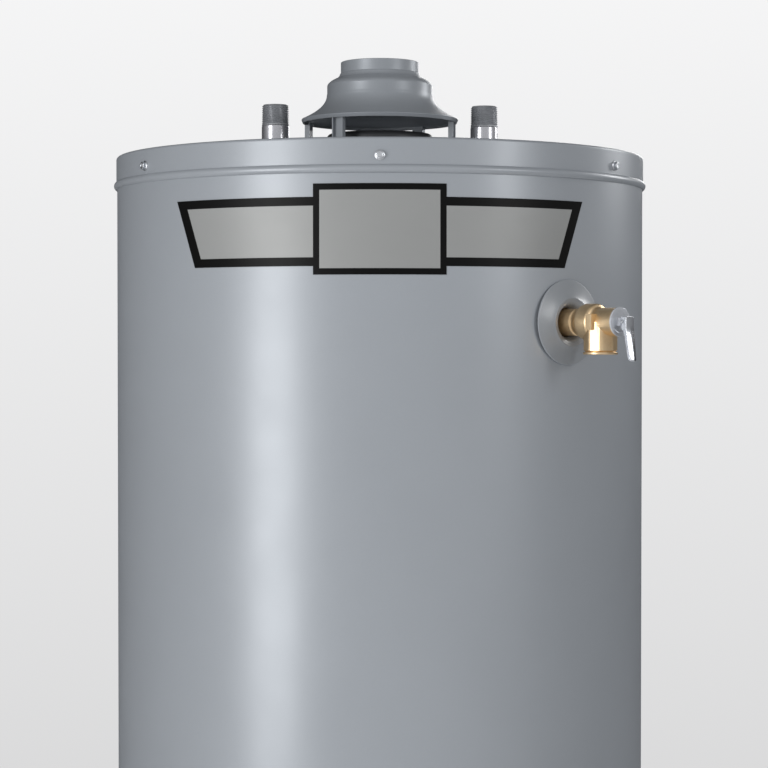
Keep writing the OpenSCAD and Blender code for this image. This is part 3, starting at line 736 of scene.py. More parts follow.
CASING_PAINT = Finish("casing_paint", (0.350, 0.374, 0.404), (0.372, 0.397, 0.428), (0.33, 0.38),
                      Grain.PEEL, 1.6, 0.006, 140.0, metallic=0.14, coat=0.05, ripple=0.06)
PAN_PAINT = Finish("pan_paint", (0.26, 0.275, 0.29), (0.30, 0.315, 0.33), (0.38, 0.5),
                   Grain.PEEL, 1.4, 0.01, metallic=0.3)
BASE_PAINT = Finish("base_paint", (0.028, 0.029, 0.031), (0.045, 0.046, 0.048), (0.4, 0.55),
                    Grain.PEEL, 1.2, 0.02, coat=0.1)
HOOD_PAINT = Finish("hood_paint", (0.33, 0.352, 0.38), (0.36, 0.385, 0.413), (0.38, 0.46),
                    Grain.PEEL, 1.2, 0.006, 50.0, metallic=0.22)
COLLAR_PAINT = Finish("collar_paint", (0.05, 0.052, 0.055), (0.075, 0.078, 0.082), (0.38, 0.5),
                      Grain.ROLLED, 1.0, 0.01, 40.0, metallic=0.6)
LABEL_FACE = Finish("label_face", (0.315, 0.32, 0.315), (0.33, 0.335, 0.33), (0.40, 0.46),
                    Grain.ROLLED, 0.35, 0.002, 60.0, metallic=0.12)
LABEL_BORDER = Finish("label_border", (0.0015, 0.0015, 0.0015), (0.003, 0.003, 0.003), (0.36, 0.42),
                      Grain.ROLLED, 0.35, 0.002, 60.0, gleam=0.12)
ZINC = Finish("bright_zinc", (0.58, 0.60, 0.63), (0.76, 0.78, 0.81), (0.26, 0.40),
              Grain.CAST, 0.8, 0.01, 6.0, metallic=1.0)
GALVANISED = Finish("galvanised", (0.58, 0.58, 0.61), (0.66, 0.66, 0.69), (0.24, 0.31),
                    Grain.DRAWN, 0.8, 0.004, 24.0, metallic=0.8)
THREAD_STEEL = Finish("threaded_steel", (0.40, 0.41, 0.43), (0.54, 0.55, 0.57), (0.44, 0.56),
                      Grain.SCALE, 1.2, 0.02, 10.0, metallic=0.75)
BRASS = Finish("forged_brass", (0.76, 0.55, 0.32), (0.90, 0.69, 0.43), (0.33, 0.43),
               Grain.CAST, 0.9, 0.02, 9.0, metallic=1.0)
BRIGHT_STEEL = Finish("plated_steel", (0.66, 0.68, 0.72), (0.82, 0.84, 0.88), (0.14, 0.24),
                      Grain.DRAWN, 0.5, 0.004, 10.0, metallic=1.0)
CAP_STEEL = Finish("cap_steel", (0.58, 0.60, 0.64), (0.70, 0.72, 0.76), (0.34, 0.44),
                   Grain.CAST, 0.7, 0.006, 8.0, metallic=0.55)
ROSE_PLASTIC = Finish("rose_plastic", (0.285, 0.305, 0.328), (0.305, 0.325, 0.350), (0.28, 0.34),
                      Grain.MOULDED, 0.6, 0.006, 25.0, coat=0.1)
GREY_PLASTIC = Finish("grey_plastic", (0.05, 0.052, 0.055), (0.065, 0.067, 0.07), (0.42, 0.5),
                      Grain.MOULDED, 0.7, 0.02, 20.0)
BLACK_PLASTIC = Finish("black_plastic", (0.012, 0.012, 0.013), (0.02, 0.02, 0.021), (0.36, 0.48),
                       Grain.MOULDED, 0.7, 0.02, 20.0)
PRINT_WHITE = Finish("white_print", (0.72, 0.72, 0.70), (0.80, 0.80, 0.78), (0.45, 0.55),
                     Grain.PEEL, 0.8, 0.004, 10.0)
RED_PLASTIC = Finish("red_plastic", (0.42, 0.02, 0.015), (0.52, 0.03, 0.02), (0.26, 0.34),
                     Grain.MOULDED, 0.8, 0.006, 12.0, coat=0.3)
BLUE_ENAMEL = Finish("wheel_enamel", (0.012, 0.03, 0.075), (0.02, 0.045, 0.10), (0.28, 0.42),
                     Grain.PEEL, 1.1, 0.03, 14.0, coat=0.4)
CAST_ALUMINIUM = Finish("cast_aluminium", (0.42, 0.42, 0.43), (0.56, 0.56, 0.57), (0.36, 0.5),
                        Grain.CAST, 0.9, 0.05, 25.0, metallic=0.95)
ALUMINIUM = Finish("drawn_aluminium", (0.62, 0.63, 0.65), (0.76, 0.77, 0.79), (0.26, 0.36),
                   Grain.DRAWN, 0.8, 0.006, 20.0, metallic=1.0)
COPPER = Finish("copper", (0.62, 0.26, 0.13), (0.80, 0.38, 0.22), (0.24, 0.38),
                Grain.DRAWN, 0.6, 0.004, 16.0, metallic=1.0)
SILICONE = Finish("orange_silicone", (0.48, 0.11, 0.02), (0.58, 0.16, 0.03), (0.42, 0.52),
                  Grain.MOULDED, 0.5, 0.006, 18.0)
TANK_ENAMEL = Finish("tank_scale", (0.045, 0.030, 0.022), (0.13, 0.085, 0.06), (0.5, 0.75),
                     Grain.SCALE, 7.0, 0.12, 60.0, metallic=0.5)
RAW_STEEL = Finish("raw_steel", (0.24, 0.235, 0.23), (0.40, 0.39, 0.38), (0.34, 0.52),
                   Grain.SCALE, 2.0, 0.03, 25.0, metallic=0.95)
FLUE_STEEL = Finish("flue_steel", (0.10, 0.085, 0.075), (0.21, 0.18, 0.16), (0.48, 0.66),
                    Grain.SCALE, 5.0, 0.05, 60.0, metallic=0.8)
FOAM = Finish("rigid_foam", (0.70, 0.56, 0.28), (0.84, 0.72, 0.42), (0.8, 0.92),
              Grain.FOAMED, 2.2, 0.5, 40.0)
GLASS_WOOL = Finish("glass_wool", (0.68, 0.55, 0.20), (0.86, 0.76, 0.38), (0.85, 0.95),
                    Grain.FIBRE, 1.6, 1.0, 30.0)
LINER_PLASTIC = Finish("liner_plastic", (0.72, 0.74, 0.73), (0.80, 0.82, 0.81), (0.34, 0.44),
                       Grain.MOULDED, 1.0, 0.01, 20.0)
MAGNESIUM = Finish("magnesium", (0.40, 0.40, 0.41), (0.55, 0.55, 0.56), (0.45, 0.62),
                   Grain.CAST, 2.0, 0.06, 25.0, metallic=0.9)
SEAT_RUBBER = Finish("seat_rubber", (0.010, 0.010, 0.010), (0.022, 0.022, 0.022), (0.6, 0.75),
                     Grain.MOULDED, 0.6, 0.02, 6.0)
BURNER_STEEL = Finish("burner_steel", (0.15, 0.13, 0.12), (0.30, 0.27, 0.25), (0.4, 0.6),
                      Grain.SCALE, 4.0, 0.05, 30.0, metallic=0.9)
DOOR_PAINT = Finish("inner_door_paint", (0.10, 0.105, 0.11), (0.14, 0.145, 0.15), (0.42, 0.55),
                    Grain.PEEL, 1.3, 0.02, 40.0, metallic=0.3)
GASKET = Finish("gasket_fibre", (0.60, 0.58, 0.52), (0.76, 0.74, 0.68), (0.85, 0.95),
                Grain.FIBRE, 0.8, 0.2, 12.0)
SIGHT_GLASS = Finish("sight_glass", (0.72, 0.80, 0.80), (0.80, 0.86, 0.86), (0.04, 0.10),
                     Grain.PEEL, 6.0, 0.01, 10.0, clear=0.85)
CERAMIC = Finish("arrestor_ceramic", (0.58, 0.56, 0.50), (0.74, 0.72, 0.66), (0.75, 0.9),
                 Grain.CAST, 1.2, 0.08, 25.0)


def dressed(piece: bpy.types.Object, finish: Finish) -> bpy.types.Object:
    """Gives a piece or node its finish."""
    piece.data.materials.clear()
    piece.data.materials.append(finish.material())
    return piece


def fitted(piece: bpy.types.Object, finish: Finish, slot: str, *nodes: str,
           body: str = "casing") -> bpy.types.Object:
    """Dresses a piece and ties it to the frame.

    Args:
        piece: the finished piece.
        finish: its finish.
        slot: the record's material slot; not used.
        nodes: the nodes that it stands for.
        body: the body that it moves with.

    Returns:
        The piece.
    """
    dressed(piece, finish)
    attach(piece, body)
    if nodes:
        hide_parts(*nodes)
    log.info("%s: %d faces, with %s", piece.name, len(piece.data.polygons), body)
    return piece


# ------------------------------------------------------------------ fasteners


@dataclass(frozen=True)
class SheetScrew:
    """A hexagon-head sheet screw with a washer flange."""

    shank_r: float = 2.0
    shank: float = 8.0
    flange_r: float = 4.6
    flange_h: float = 0.9
    across: float = 6.4
    head_h: float = 3.0

    def draw(self, shape: Shape, place: Matrix) -> None:
        """Adds the screw to a shape, with its flange seated at the place's origin.

        Args:
            shape: the shape to add to.
            place: where the flange sits, with +Z out of the sheet.
        """
        half, top = self.across / 2, self.flange_h + self.head_h
        outline = [(0, -self.shank), (self.shank_r * 0.5, -self.shank), (self.shank_r, -self.shank + 2),
                   (self.shank_r, 0), (self.flange_r - 0.3, 0), (self.flange_r, 0.25),
                   (self.flange_r - 0.1, 0.5), (half + 0.5, self.flange_h),
                   (half, self.flange_h + 0.08), (half, top - 0.5), (half - 0.25, top - 0.15),
                   (half - 0.7, top), (half - 1.1, top - 0.05), (half - 1.5, top - 0.5), (0, top - 0.6)]
        shape.at(place).turned(outline, 48, flats(6, self.flange_h + 0.05, top - 0.3))


# ------------------------------------------------------------------ casing


@dataclass
class Casing:
    """The painted steel jacket with its cover, pan and base ring."""

    sheet: float = 0.6
    cover_sheet: float = 0.8
    skirt_gap: float = 0.15
    rim_round: float = 2.5
    bead_drop: float = 27.3
    bead_half: float = 3.7
    bead_out: float = 2.35
    flue_hole_r: float = 50.0
    nipple_hole_r: float = 14.6
    anode_hole_r: float = 22.0
    screw_hole_r: float = 2.1
    cover_screw_drop: float = 16.0
    cover_screws: tuple[float, ...] = (0, 57, 123, 180, 237, 303)
    base_screws: tuple[float, ...] = (30, 90, 150, 210, 270, 330)
    opening_half: float = 100.0
    opening_low: float = 95.0
    opening_high: float = 300.0
    seam_width: float = 9.0
    windows: int = 10
    segments: int = 320

    def drilled(self, azimuths: Sequence[float], height: float, shape: Shape) -> Shape:
        """Adds a drill bit for each screw hole.

        Args:
            azimuths: where the holes are.
            height: their height above the floor.
            shape: the shape of all the bits.

        Returns:
            The shape.
        """
        r = self.screw_hole_r
        for azimuth in azimuths:
            shape.at(outward(azimuth, height)).turned([(0, JACKET_R - 8), (r, JACKET_R - 8),
                                                       (r, JACKET_R + 8), (0, JACKET_R + 8)], 24)
        return shape

    def jacket(self, valve_holes: Sequence[tuple[float, float, float]]) -> None:
        """Rolls the jacket, with its openings, and folds its back seam.

        Args:
            valve_holes: azimuth, height and radius of each hole for a fitting.
        """
        bottom, top = low("jacket").z, high("jacket").z
        inner = JACKET_R - self.sheet
        bits = Shape()
        for azimuth, height, r in valve_holes:
            bits.at(outward(azimuth, height)).turned(rod(r, 200, 280), 64)
        self.drilled(self.cover_screws, COVER_TOP - self.cover_screw_drop, bits)
        self.drilled(self.base_screws, middle("base_screws").z, bits)
        door = Shape().extruded(rectangle(-self.opening_half, -JACKET_R - 5, 2 * self.opening_half, 60),
                                self.opening_low, self.opening_high)
        shell = Shape().turned([(inner, bottom), (JACKET_R, bottom), (JACKET_R, top), (inner, top)],
                               self.segments)
        fitted(shell.built("jacket_shell", cut=[door, bits]), CASING_PAINT, "casing_paint", "jacket")
        seam_low, seam_high = high("bottom_pan").z + 1.5, low("top_cover").z - 1.5
        half, rise = self.seam_width / 2, 0.7
        face = JACKET_R - 0.02
        fold = [(half, face), (half - 0.7, face + rise), (-half + 1.6, face + rise),
                (-half + 0.6, face + rise * 0.6), (-half, face)]
        seam = Shape(upright(turn=180)).lofted([[(x, -math.sqrt(r * r - x * x), z) for x, r in fold]
                                                for z in (seam_low, seam_high)])
        fitted(seam.built("jacket_seam", 0.2), CASING_PAINT, "casing_paint")

    def cover(self) -> None:
        """Presses the cover with its rolled bead and its holes, and seats its screws."""
        inner = JACKET_R + self.skirt_gap
        skirt = inner + self.sheet
        bead_arc = (self.bead_half ** 2 + self.bead_out ** 2) / (2 * self.bead_out)
        swing = math.degrees(math.asin(self.bead_half / bead_arc))
        corner = self.rim_round
        outline = [(self.flue_hole_r, 0), *arc(skirt - corner, -corner, corner, 90, 0, 10),
                   *arc(skirt + self.bead_out - bead_arc, -self.bead_drop, bead_arc, swing, -swing, 14),
                   (inner, -self.bead_drop - self.bead_half), (inner, -corner),
                   (inner - corner + 0.7, -self.cover_sheet), (self.flue_hole_r, -self.cover_sheet)]
        bits = Shape()
        for node, r in (("cold_nipple", self.nipple_hole_r), ("hot_nipple", self.nipple_hole_r),
                        ("anode_cap", self.anode_hole_r)):
            x, y, _ = middle(node)
            bits.at(upright(x, y, COVER_TOP)).turned(rod(r, -6, 6), 72)
        self.drilled(self.cover_screws, COVER_TOP - self.cover_screw_drop, bits)
        pressed = Shape(upright(z=COVER_TOP)).turned(outline, self.segments)
        fitted(pressed.built("cover_pressing", cut=[bits]), CASING_PAINT, "casing_paint", "top_cover")
        self.screwed("cover_screw_heads", "cover_screws", self.cover_screws,
                     COVER_TOP - self.cover_screw_drop, skirt + 0.03)

    def screwed(self, name: str, node: str, azimuths: Sequence[float], height: float,
                seat: float) -> None:
        """Seats a ring of sheet screws.

        Args:
            name: the piece's name.
            node: the node that it stands for.
            azimuths: where the screws are.
            height: their height above the floor.
            seat: distance of their flanges from the tank's axis.
        """
        screws = Shape()
        for azimuth in azimuths:
            SheetScrew().draw(screws, outward(azimuth, height) @ Matrix.Translation((0, 0, seat)))
        fitted(screws.built(name), ZINC, "zinc", node)

    def anode_plug(self) -> None:
        """Moulds the domed plug over the anode rod's hole."""
        x, y, _ = middle("anode_cap")
        rim = high("anode_cap").x - x
        base, top = 0.05, high("anode_cap").z - COVER_TOP
        outline = [(0, base), (19.7, base), (19.7, -7.6), (20.1, -8), (21.4, -8), (21.9, -6.6), (21.7, base),
                   (rim - 0.2, base), (rim, base + 0.3), *arc(rim - 0.9, top - 0.9, 0.9, 0, 90, 5),
                   (16, top), (15.2, top - 0.5), (6, top - 0.5), (5.4, top - 0.9), (0, top - 0.9)]
        plug = Shape(upright(x, y, COVER_TOP)).turned(outline, 96)
        fitted(plug.built("anode_plug"), GREY_PLASTIC, "grey_plastic", "anode_cap")

    def underpinning(self) -> None:
        """Presses the bottom pan and the vented base ring and seats the lower screws."""
        foot = low("bottom_pan").z
        edge = JACKET_R + 1.6
        pan = [(105, foot), (JACKET_R - 1, foot), *arc(edge - 2.6, foot + 2.6, 2.6, -60, 0, 6),
               (edge, foot + 17.4), (edge - 0.4, foot + 18), (edge - 1, foot + 17.6), (edge - 1, foot + 3),
               (JACKET_R - 1.4, foot + 1.2), (105, foot + 1.2)]
        fitted(Shape().turned(pan, self.segments).built("bottom_pressing"), PAN_PAINT, "pan_paint",
               "bottom_pan")
        wall, top, sheet = high("base_ring").x, high("base_ring").z, 1.6
        ring = [(wall - 28, 0), *arc(wall - 2.4, 2.4, 2.4, -90, 0, 5),
                *arc(wall - 2.4, top - 2.4, 2.4, 0, 90, 5),
                (wall - 22, top), (wall - 22, top - sheet), *arc(wall - 2.6, top - 2.6, 1.0, 90, 0, 3),
                *arc(wall - 2.6, 2.6, 1.0, 0, -90, 3), (wall - 28, sheet)]
        vents = Shape()
        for i in range(self.windows):
            place = outward((i + 0.5) * 360 / self.windows, 23)
            vents.at(place).extruded(rounded(64, 22, 4), wall - 12, wall + 8)
        fitted(Shape().turned(ring, self.segments).built("base_pressing", 0.25, cut=[vents]), BASE_PAINT,
               "base_paint", "base_ring")
        self.screwed("base_screw_heads", "base_screws", self.base_screws, middle("base_screws").z,
                     JACKET_R + 1.65)

    def build(self, valve_holes: Sequence[tuple[float, float, float]]) -> None:
        """Builds the whole casing.

        Args:
            valve_holes: azimuth, height and radius of each hole for a fitting.
        """
        self.jacket(valve_holes)
        self.cover()
        self.anode_plug()
        self.underpinning()


@dataclass
class Label:
    """Three blank panels with a dark border, wrapped round the front of the jacket."""

    gap: float = 0.05
    film: float = 0.3
    mid_half: float = 57.6
    mid_high: float = 40.0
    mid_low: float = 118.4
    mid_border: float = 5.5
    wing_high: float = 51.4
    wing_low: float = 111.0
    wing_top_x: float = 180.8
    wing_low_x: float = 163.8
    wing_border: float = 7.6

    def panel(self, shape: Shape, corners: Sequence[Flat], proud: float) -> None:
        """Adds one wrapped panel.

        Args:
            shape: the shape to add to.
            corners: (x, depth below the cover) of its corners, anticlockwise from the lower left.
            proud: how far its face stands out from the film's.
        """
        back = JACKET_R + self.gap
        face = back + self.film + proud
        shape.wrapped([(x, COVER_TOP - drop) for x, drop in corners], back, face)

    def build(self) -> None:
        """Lays the border film and the three faces."""
        border, faces = Shape(), Shape()
        m, b = self.mid_half, self.mid_border
        self.panel(border, [(-m, self.mid_low), (m, self.mid_low), (m, self.mid_high),
                            (-m, self.mid_high)], 0)
        self.panel(faces, [(b - m, self.mid_low - b), (m - b, self.mid_low - b), (m - b, self.mid_high + b),
                           (b - m, self.mid_high + b)], 0.06)
        w = self.wing_border
        lean = (self.wing_top_x - self.wing_low_x) / (self.wing_low - self.wing_high)
        for side in (-1, 1):
            outer = [(m, self.wing_low), (self.wing_low_x, self.wing_low),
                     (self.wing_top_x, self.wing_high), (m, self.wing_high)]
            inset = w * math.sqrt(1 + lean * lean)
            inner = [(m, self.wing_low - w), (self.wing_low_x + lean * w - inset, self.wing_low - w),
                     (self.wing_top_x - lean * w - inset, self.wing_high + w), (m, self.wing_high + w)]
            for shape, corners, proud in ((border, outer, 0), (faces, inner, 0.06)):
                flipped = [(side * x, drop) for x, drop in corners]
                order = flipped if side > 0 else [flipped[1], flipped[0], flipped[3], flipped[2]]
                self.panel(shape, order, proud)
        fitted(border.built("label_border"), LABEL_BORDER, "label", "label_plate")
        fitted(faces.built("label_faces"), LABEL_FACE, "label")


# ------------------------------------------------------------------ venting


@dataclass
class Venting:
    """The draft hood on its four legs over the flue's collar."""

    sheet: float = 0.8
    lip_r: float = 76.2
    lip_z: float = 39.5
    lip_drop: float = 36.0
    tier_r: float = 51.2
    vent_r: float = 37.9
    leg_azimuths: tuple[float, ...] = (-33, 77, 147, 257)
    leg_w: float = 12.0
    leg_r: float = 74.0
    leg_top: float = 38.4
    segments: int = 192

    def hood(self) -> None:
        """Spins the hood: a flared bell, a short tier and the vent collar."""
        t, tier, vent, lip = self.sheet, self.tier_r, self.vent_r, self.lip_r
        rise = high("draft_hood").z - COVER_TOP
        outer = [(lip - 1.2, self.lip_drop),
                 *curve((lip, self.lip_z - 0.6), (lip, self.lip_z + 0.3), (lip - 1, self.lip_z + 0.55), 4),
                 *curve((lip - 1, self.lip_z + 0.55), (tier + 0.6, 50.8), (tier + 0.4, 63), 28),
                 (tier, 64.5), (tier, 72), *curve((tier, 72), (tier - 0.4, 75), (44.6, 78.2), 10),
                 *curve((42.6, 79.2), (40, 80), (vent + 0.6, 84), 8), (vent, 84.6), (vent, rise - 0.4),
                 (vent - 0.4, rise)]
        inner = [(vent - t, rise), (vent - t, 84.2),
                 *curve((vent - 0.2, 83.4), (39.2, 79.4), (42.2, 78.4), 8),
                 *curve((44.3, 77.4), (tier - 1.2, 74.4), (tier - t, 71.8), 10), (tier - t, 64.4),
                 *curve((tier + 0.4 - t, 62.9), (tier - 0.2, 50.2), (lip - 0.6 - 1, self.lip_z - 0.4), 28),
                 (lip - 1.4, self.lip_z - 1.2), (lip - 2, self.lip_drop)]
        spun = Shape(upright(z=COVER_TOP)).turned([*outer, *inner], self.segments)
        fitted(spun.built("hood_spinning"), HOOD_PAINT, "hood_steel", "draft_hood")

    def legs(self) -> None:
        """Folds the four channel legs with their foot tabs, and their screws."""
        half, r = self.leg_w / 2, self.leg_r
        channel = [(-half, -r), (1 - half, -r), (1 - half, 4 - r), (half - 1, 4 - r), (half - 1, -r),
                   (half, -r), (half, 5 - r), (-half, 5 - r)]
        legs, webs, tabs, holes, heads = Shape(), Shape(), Shape(), Shape(), Shape()
        for azimuth in self.leg_azimuths:
            place = upright(z=COVER_TOP + 0.05, turn=azimuth)
            legs.at(place).extruded(channel, 0, self.leg_top - 2.6)
            webs.at(place).extruded(rectangle(-half, 4 - r, self.leg_w, 1), self.leg_top - 6, self.leg_top)
            tabs.at(place).extruded(rectangle(-half, 4.5 - r, self.leg_w, 8.5), 0, 1)
            seat = place @ Matrix.Translation((0, 9 - r, 1.05))
            holes.at(seat).turned(rod(1.6, -3, 3), 24)
            heads.at(seat).turned([(0, -1), (1.5, -1), (1.5, 0), (3.0, 0), (3.2, 0.3),
                                   *arc(0, -1.6, 4.1, 40, 66, 5), (1.1, 1.85), (0.9, 1.2), (0, 1.1)], 40)
        fitted(legs.built("hood_leg_channels", 0.35, joined=[webs, tabs], cut=[holes]), HOOD_PAINT,
               "hood_steel", "hood_legs")
        fitted(heads.built("hood_screw_heads"), ZINC, "zinc", "hood_screws")

    def collar(self) -> None:
        """Rolls the collar that stands up round the flue."""
        base = 0.05
        outline = [(51, base), (59.6, base), (60, base + 0.3), (60, base + 0.7), (59.7, base + 1),
                   *curve((54.2, base + 1), (52.3, base + 1), (52.3, base + 2.8), 5),
                   *curve((52.3, 17), (52.3, 23.6), (48.9, 25), 14), (48.6, 24.6), (48.9, 24),
                   *curve((49.2, 23.8), (51.2, 22.6), (51.2, 17), 10)]
        rolled = Shape(upright(z=COVER_TOP)).turned(outline, self.segments)
        fitted(rolled.built("flue_collar_ring"), COLLAR_PAINT, "collar_steel", "flue_collar")

    def build(self) -> None:
        """Builds the hood, its legs and the collar."""
        self.hood()
        self.legs()
        self.collar()


# ------------------------------------------------------------------ water fittings


@dataclass
class Nipple:
    """A galvanised nipple with a tapered pipe thread on its upper end."""

    node: str
    bore_r: float = 10.46
    thread_length: float = 20.0
    pitch: float = 1.814
    depth: float = 1.1
    taper: float = 0.35

    def build(self) -> None:
        """Builds the plain body and its threaded end as two pieces of one pipe."""
        x, y, _ = middle(self.node)
        radius = high(self.node).x - x
        foot, top = low(self.node).z, high(self.node).z
        start = top - self.thread_length
        body = [(self.bore_r, foot), (radius - 0.6, foot), (radius, foot + 0.6), (radius, start - 1.2),
                (radius - 0.7, start - 0.2), (radius - 1.3, start), (self.bore_r, start)]
        pipe = Shape(upright(x, y)).turned(body, 80)
        fitted(pipe.built(self.node + "_pipe"), GALVANISED, "galvanised", self.node)
        crest = radius - 0.1
        rows = [(crest - self.taper * (z - start) / self.thread_length, z)
                for z in climb(start + 0.02, top - 1.0, self.pitch / 8)]
        end = [(self.bore_r, start + 0.02), *rows, (crest - self.taper - 0.9, top - 0.25),
               (crest - self.taper - 1.3, top), (self.bore_r + 0.4, top), (self.bore_r, top - 0.4)]
        rule = thread(self.pitch, self.depth, start + 0.3, top + self.pitch * 0.4, self.bore_r + 1.5, radius)
        screw = Shape(upright(x, y)).turned(end, 80, rule)
        fitted(screw.built(self.node + "_thread"), THREAD_STEEL, "galvanised")


def nipple_liners() -> None:
    """Builds the two plastic liners that line the nipples."""
    liners = Shape()
    inner, outer = 9.2, 10.4
    foot, top = low("nipple_liners").z, high("nipple_liners").z
    for node in ("cold_nipple", "hot_nipple"):
        x, y, _ = middle(node)
        liners.at(upright(x, y)).turned([(inner, foot), (outer, foot), (outer, top - 0.3), (outer - 0.3, top),
                                         (inner + 0.3, top), (inner, top - 0.3)], 64)
    fitted(liners.built("nipple_liner_tubes"), LINER_PLASTIC, "liner_plastic", "nipple_liners")


@dataclass
class ReliefValve:
    """The temperature and pressure relief valve with its rose, lever and spring."""

    azimuth: float
    height: float
    rose_r: float = 38.0
    neck_r: float = 11.9
    land_r: float = 16.2
    housing_r: float = 12.4
    face: float = 317.6
    pivot: float = 324.0
    pivot_r: float = 1.1
    outlet_at: float = 294.0
    outlet_low: float = 28.4
    outlet_flat: float = 14.0
    bore_r: float = 12.0
    pipe_pitch: float = 1.814
    lever_end: float = -34.0
    lean: float = 0.15
    spring_r: float = 6.5
    wire_r: float = 0.9

    def place(self, distance: float = 0.0) -> Matrix:
        """The valve's own place, at a distance from the tank's axis."""
        return outward(self.azimuth, self.height) @ Matrix.Translation((0, 0, distance))

    def rose(self) -> None:
        """Moulds the dished rose that covers the hole in the jacket."""
        j, r = JACKET_R, self.rose_r
        outline = [(r - 0.3, j + 0.2), (r, j + 0.5), (r, j + 0.9), (r - 0.3, j + 1.25),
                   *curve((r - 0.6, j + 1.4), (26, j + 4.2), (22.2, j + 6.2), 14),
                   *curve((22.0, j + 6.35), (21.2, j + 6.75), (20.4, j + 6.3), 5),
                   *curve((20.2, j + 6.1), (15.0, j + 5.4), (12.9, j - 3), 12),
                   *curve((14.1, j - 3), (16.2, j + 4.4), (21, j + 5.2), 10),
                   *curve((21.6, j + 5.1), (26, j + 3.0), (r - 1, j + 0.2), 14)]
        moulded = Shape(self.place()).turned(outline, 128)
        fitted(moulded.built("relief_rose"), ROSE_PLASTIC, "escutcheon_plastic", "relief_escutcheon")

    def body(self) -> None:
        """Forges the brass body with its octagonal outlet, pads and threads."""
        shell_r = -low("tank_shell").x
        start = shell_r - 6
        neck, land, house = self.neck_r, self.land_r, self.housing_r
        core = Shape(self.place()).turned(
            [(0, start), (SHANK_R, start), (SHANK_R, start + 20), (neck, start + 24), (neck, 266.6),
             (neck - 0.4, 267),
             (10.8, 267.6), (10.8, 269.6), (12.2, 270), *curve((12.2, 270), (12.8, 273.6), (15.4, 276.5), 6),
             (land, 279), (land, 288.4), *curve((land, 288.4), (land, 291.2), (14.4, 291.6), 4),
             *curve((14.0, 291.8), (house, 292.2), (house, 294), 4), (house, 315.4), (house - 0.5, 316),
             (0, 316)],
            96)
        pads = Shape(self.place()).extruded(rectangle(-17, -7, 34, 14), 292, 299)
        down = self.place(self.outlet_at) @ DOWNWARD
        low_end, half = self.outlet_low, self.outlet_flat
        tip = half - 0.3
        spout = Shape(down).turned(
            [(0, 0), (half, 0), (half, low_end - 3.4), (half - 0.9, low_end - 2.9),
             (half - 0.6, low_end - 2.4),
             (tip + 1.3, low_end - 2), (tip + 1.5, low_end - 1.2), (tip + 1.3, low_end - 0.3),
             (tip + 0.9, low_end), (0, low_end)], 96, flats(8, -1, low_end - 3.2, 22.5, 1.05))
        inner = self.bore_r
        rows = [(inner, z) for z in climb(low_end - 16.4, low_end - 1.4, self.pipe_pitch / 8)]
        drill = Shape(down).turned([(0, low_end - 16.4), *rows, (inner + 1.2, low_end + 0.1),
                                    (inner + 1.2, low_end + 2),
                                    (0, low_end + 2)], 80,
                                   thread(self.pipe_pitch, -0.9, low_end - 16, low_end - 0.8, inner - 1,
                                          inner + 0.2))
        port = Shape(down).turned(rod(8, 2, low_end - 16), 48)
        chamber = Shape(self.place()).turned(rod(9.6, 281, 320), 64)
        inlet = Shape(self.place()).turned(rod(8, 180, 282), 48)
        made = core.built("relief_forging", 0.35, joined=[pads, spout], cut=[drill, port, chamber, inlet])
        fitted(made, BRASS, "brass", "relief_body")

    def cap(self) -> None:
        """Crimps the cap over the spring housing, with the two ears of the lever."""
        under = 316.05
        disc = Shape(self.place()).turned(
            [(1.65, under), (12.4, under), (12.9, under + 0.3), (13, under + 0.8),
             *arc(12.4, self.face - 0.6, 0.6, 0, 90, 5), (9.6, self.face), (9.2, self.face - 0.25),
             (4.6, self.face - 0.25),
             (4.2, self.face), (1.65, self.face)], 96)
        ears = []
        for side in (-3, 3):
            profile = [(-3.4, self.face - 0.4), (3.4, self.face - 0.4), *arc(0, self.pivot, 3.4, 0, 180, 14)]
            ears.append(Shape(self.place()).lofted([[(side + x, y, z) for y, z in profile]
                                                    for x in (-0.6, 0.6)]))
        made = disc.built("relief_cap_pressing", 0.18, joined=ears)
        fitted(made, CAP_STEEL, "relief_cap", "relief_cap")
        pin = Shape(self.place(self.pivot) @ RIGHTWARD).turned(
            [(0, -6), (1.5, -6), (1.7, -5.8), (1.7, -5.4), (1.5, -5.2), (self.pivot_r, -5.2),
             (self.pivot_r, 5.2), (1.5, 5.2),
             (1.7, 5.4), (1.7, 5.8), (1.5, 6), (0, 6)], 32)
        fitted(pin.built("relief_pin_rivet"), ZINC, "zinc", "relief_pin")

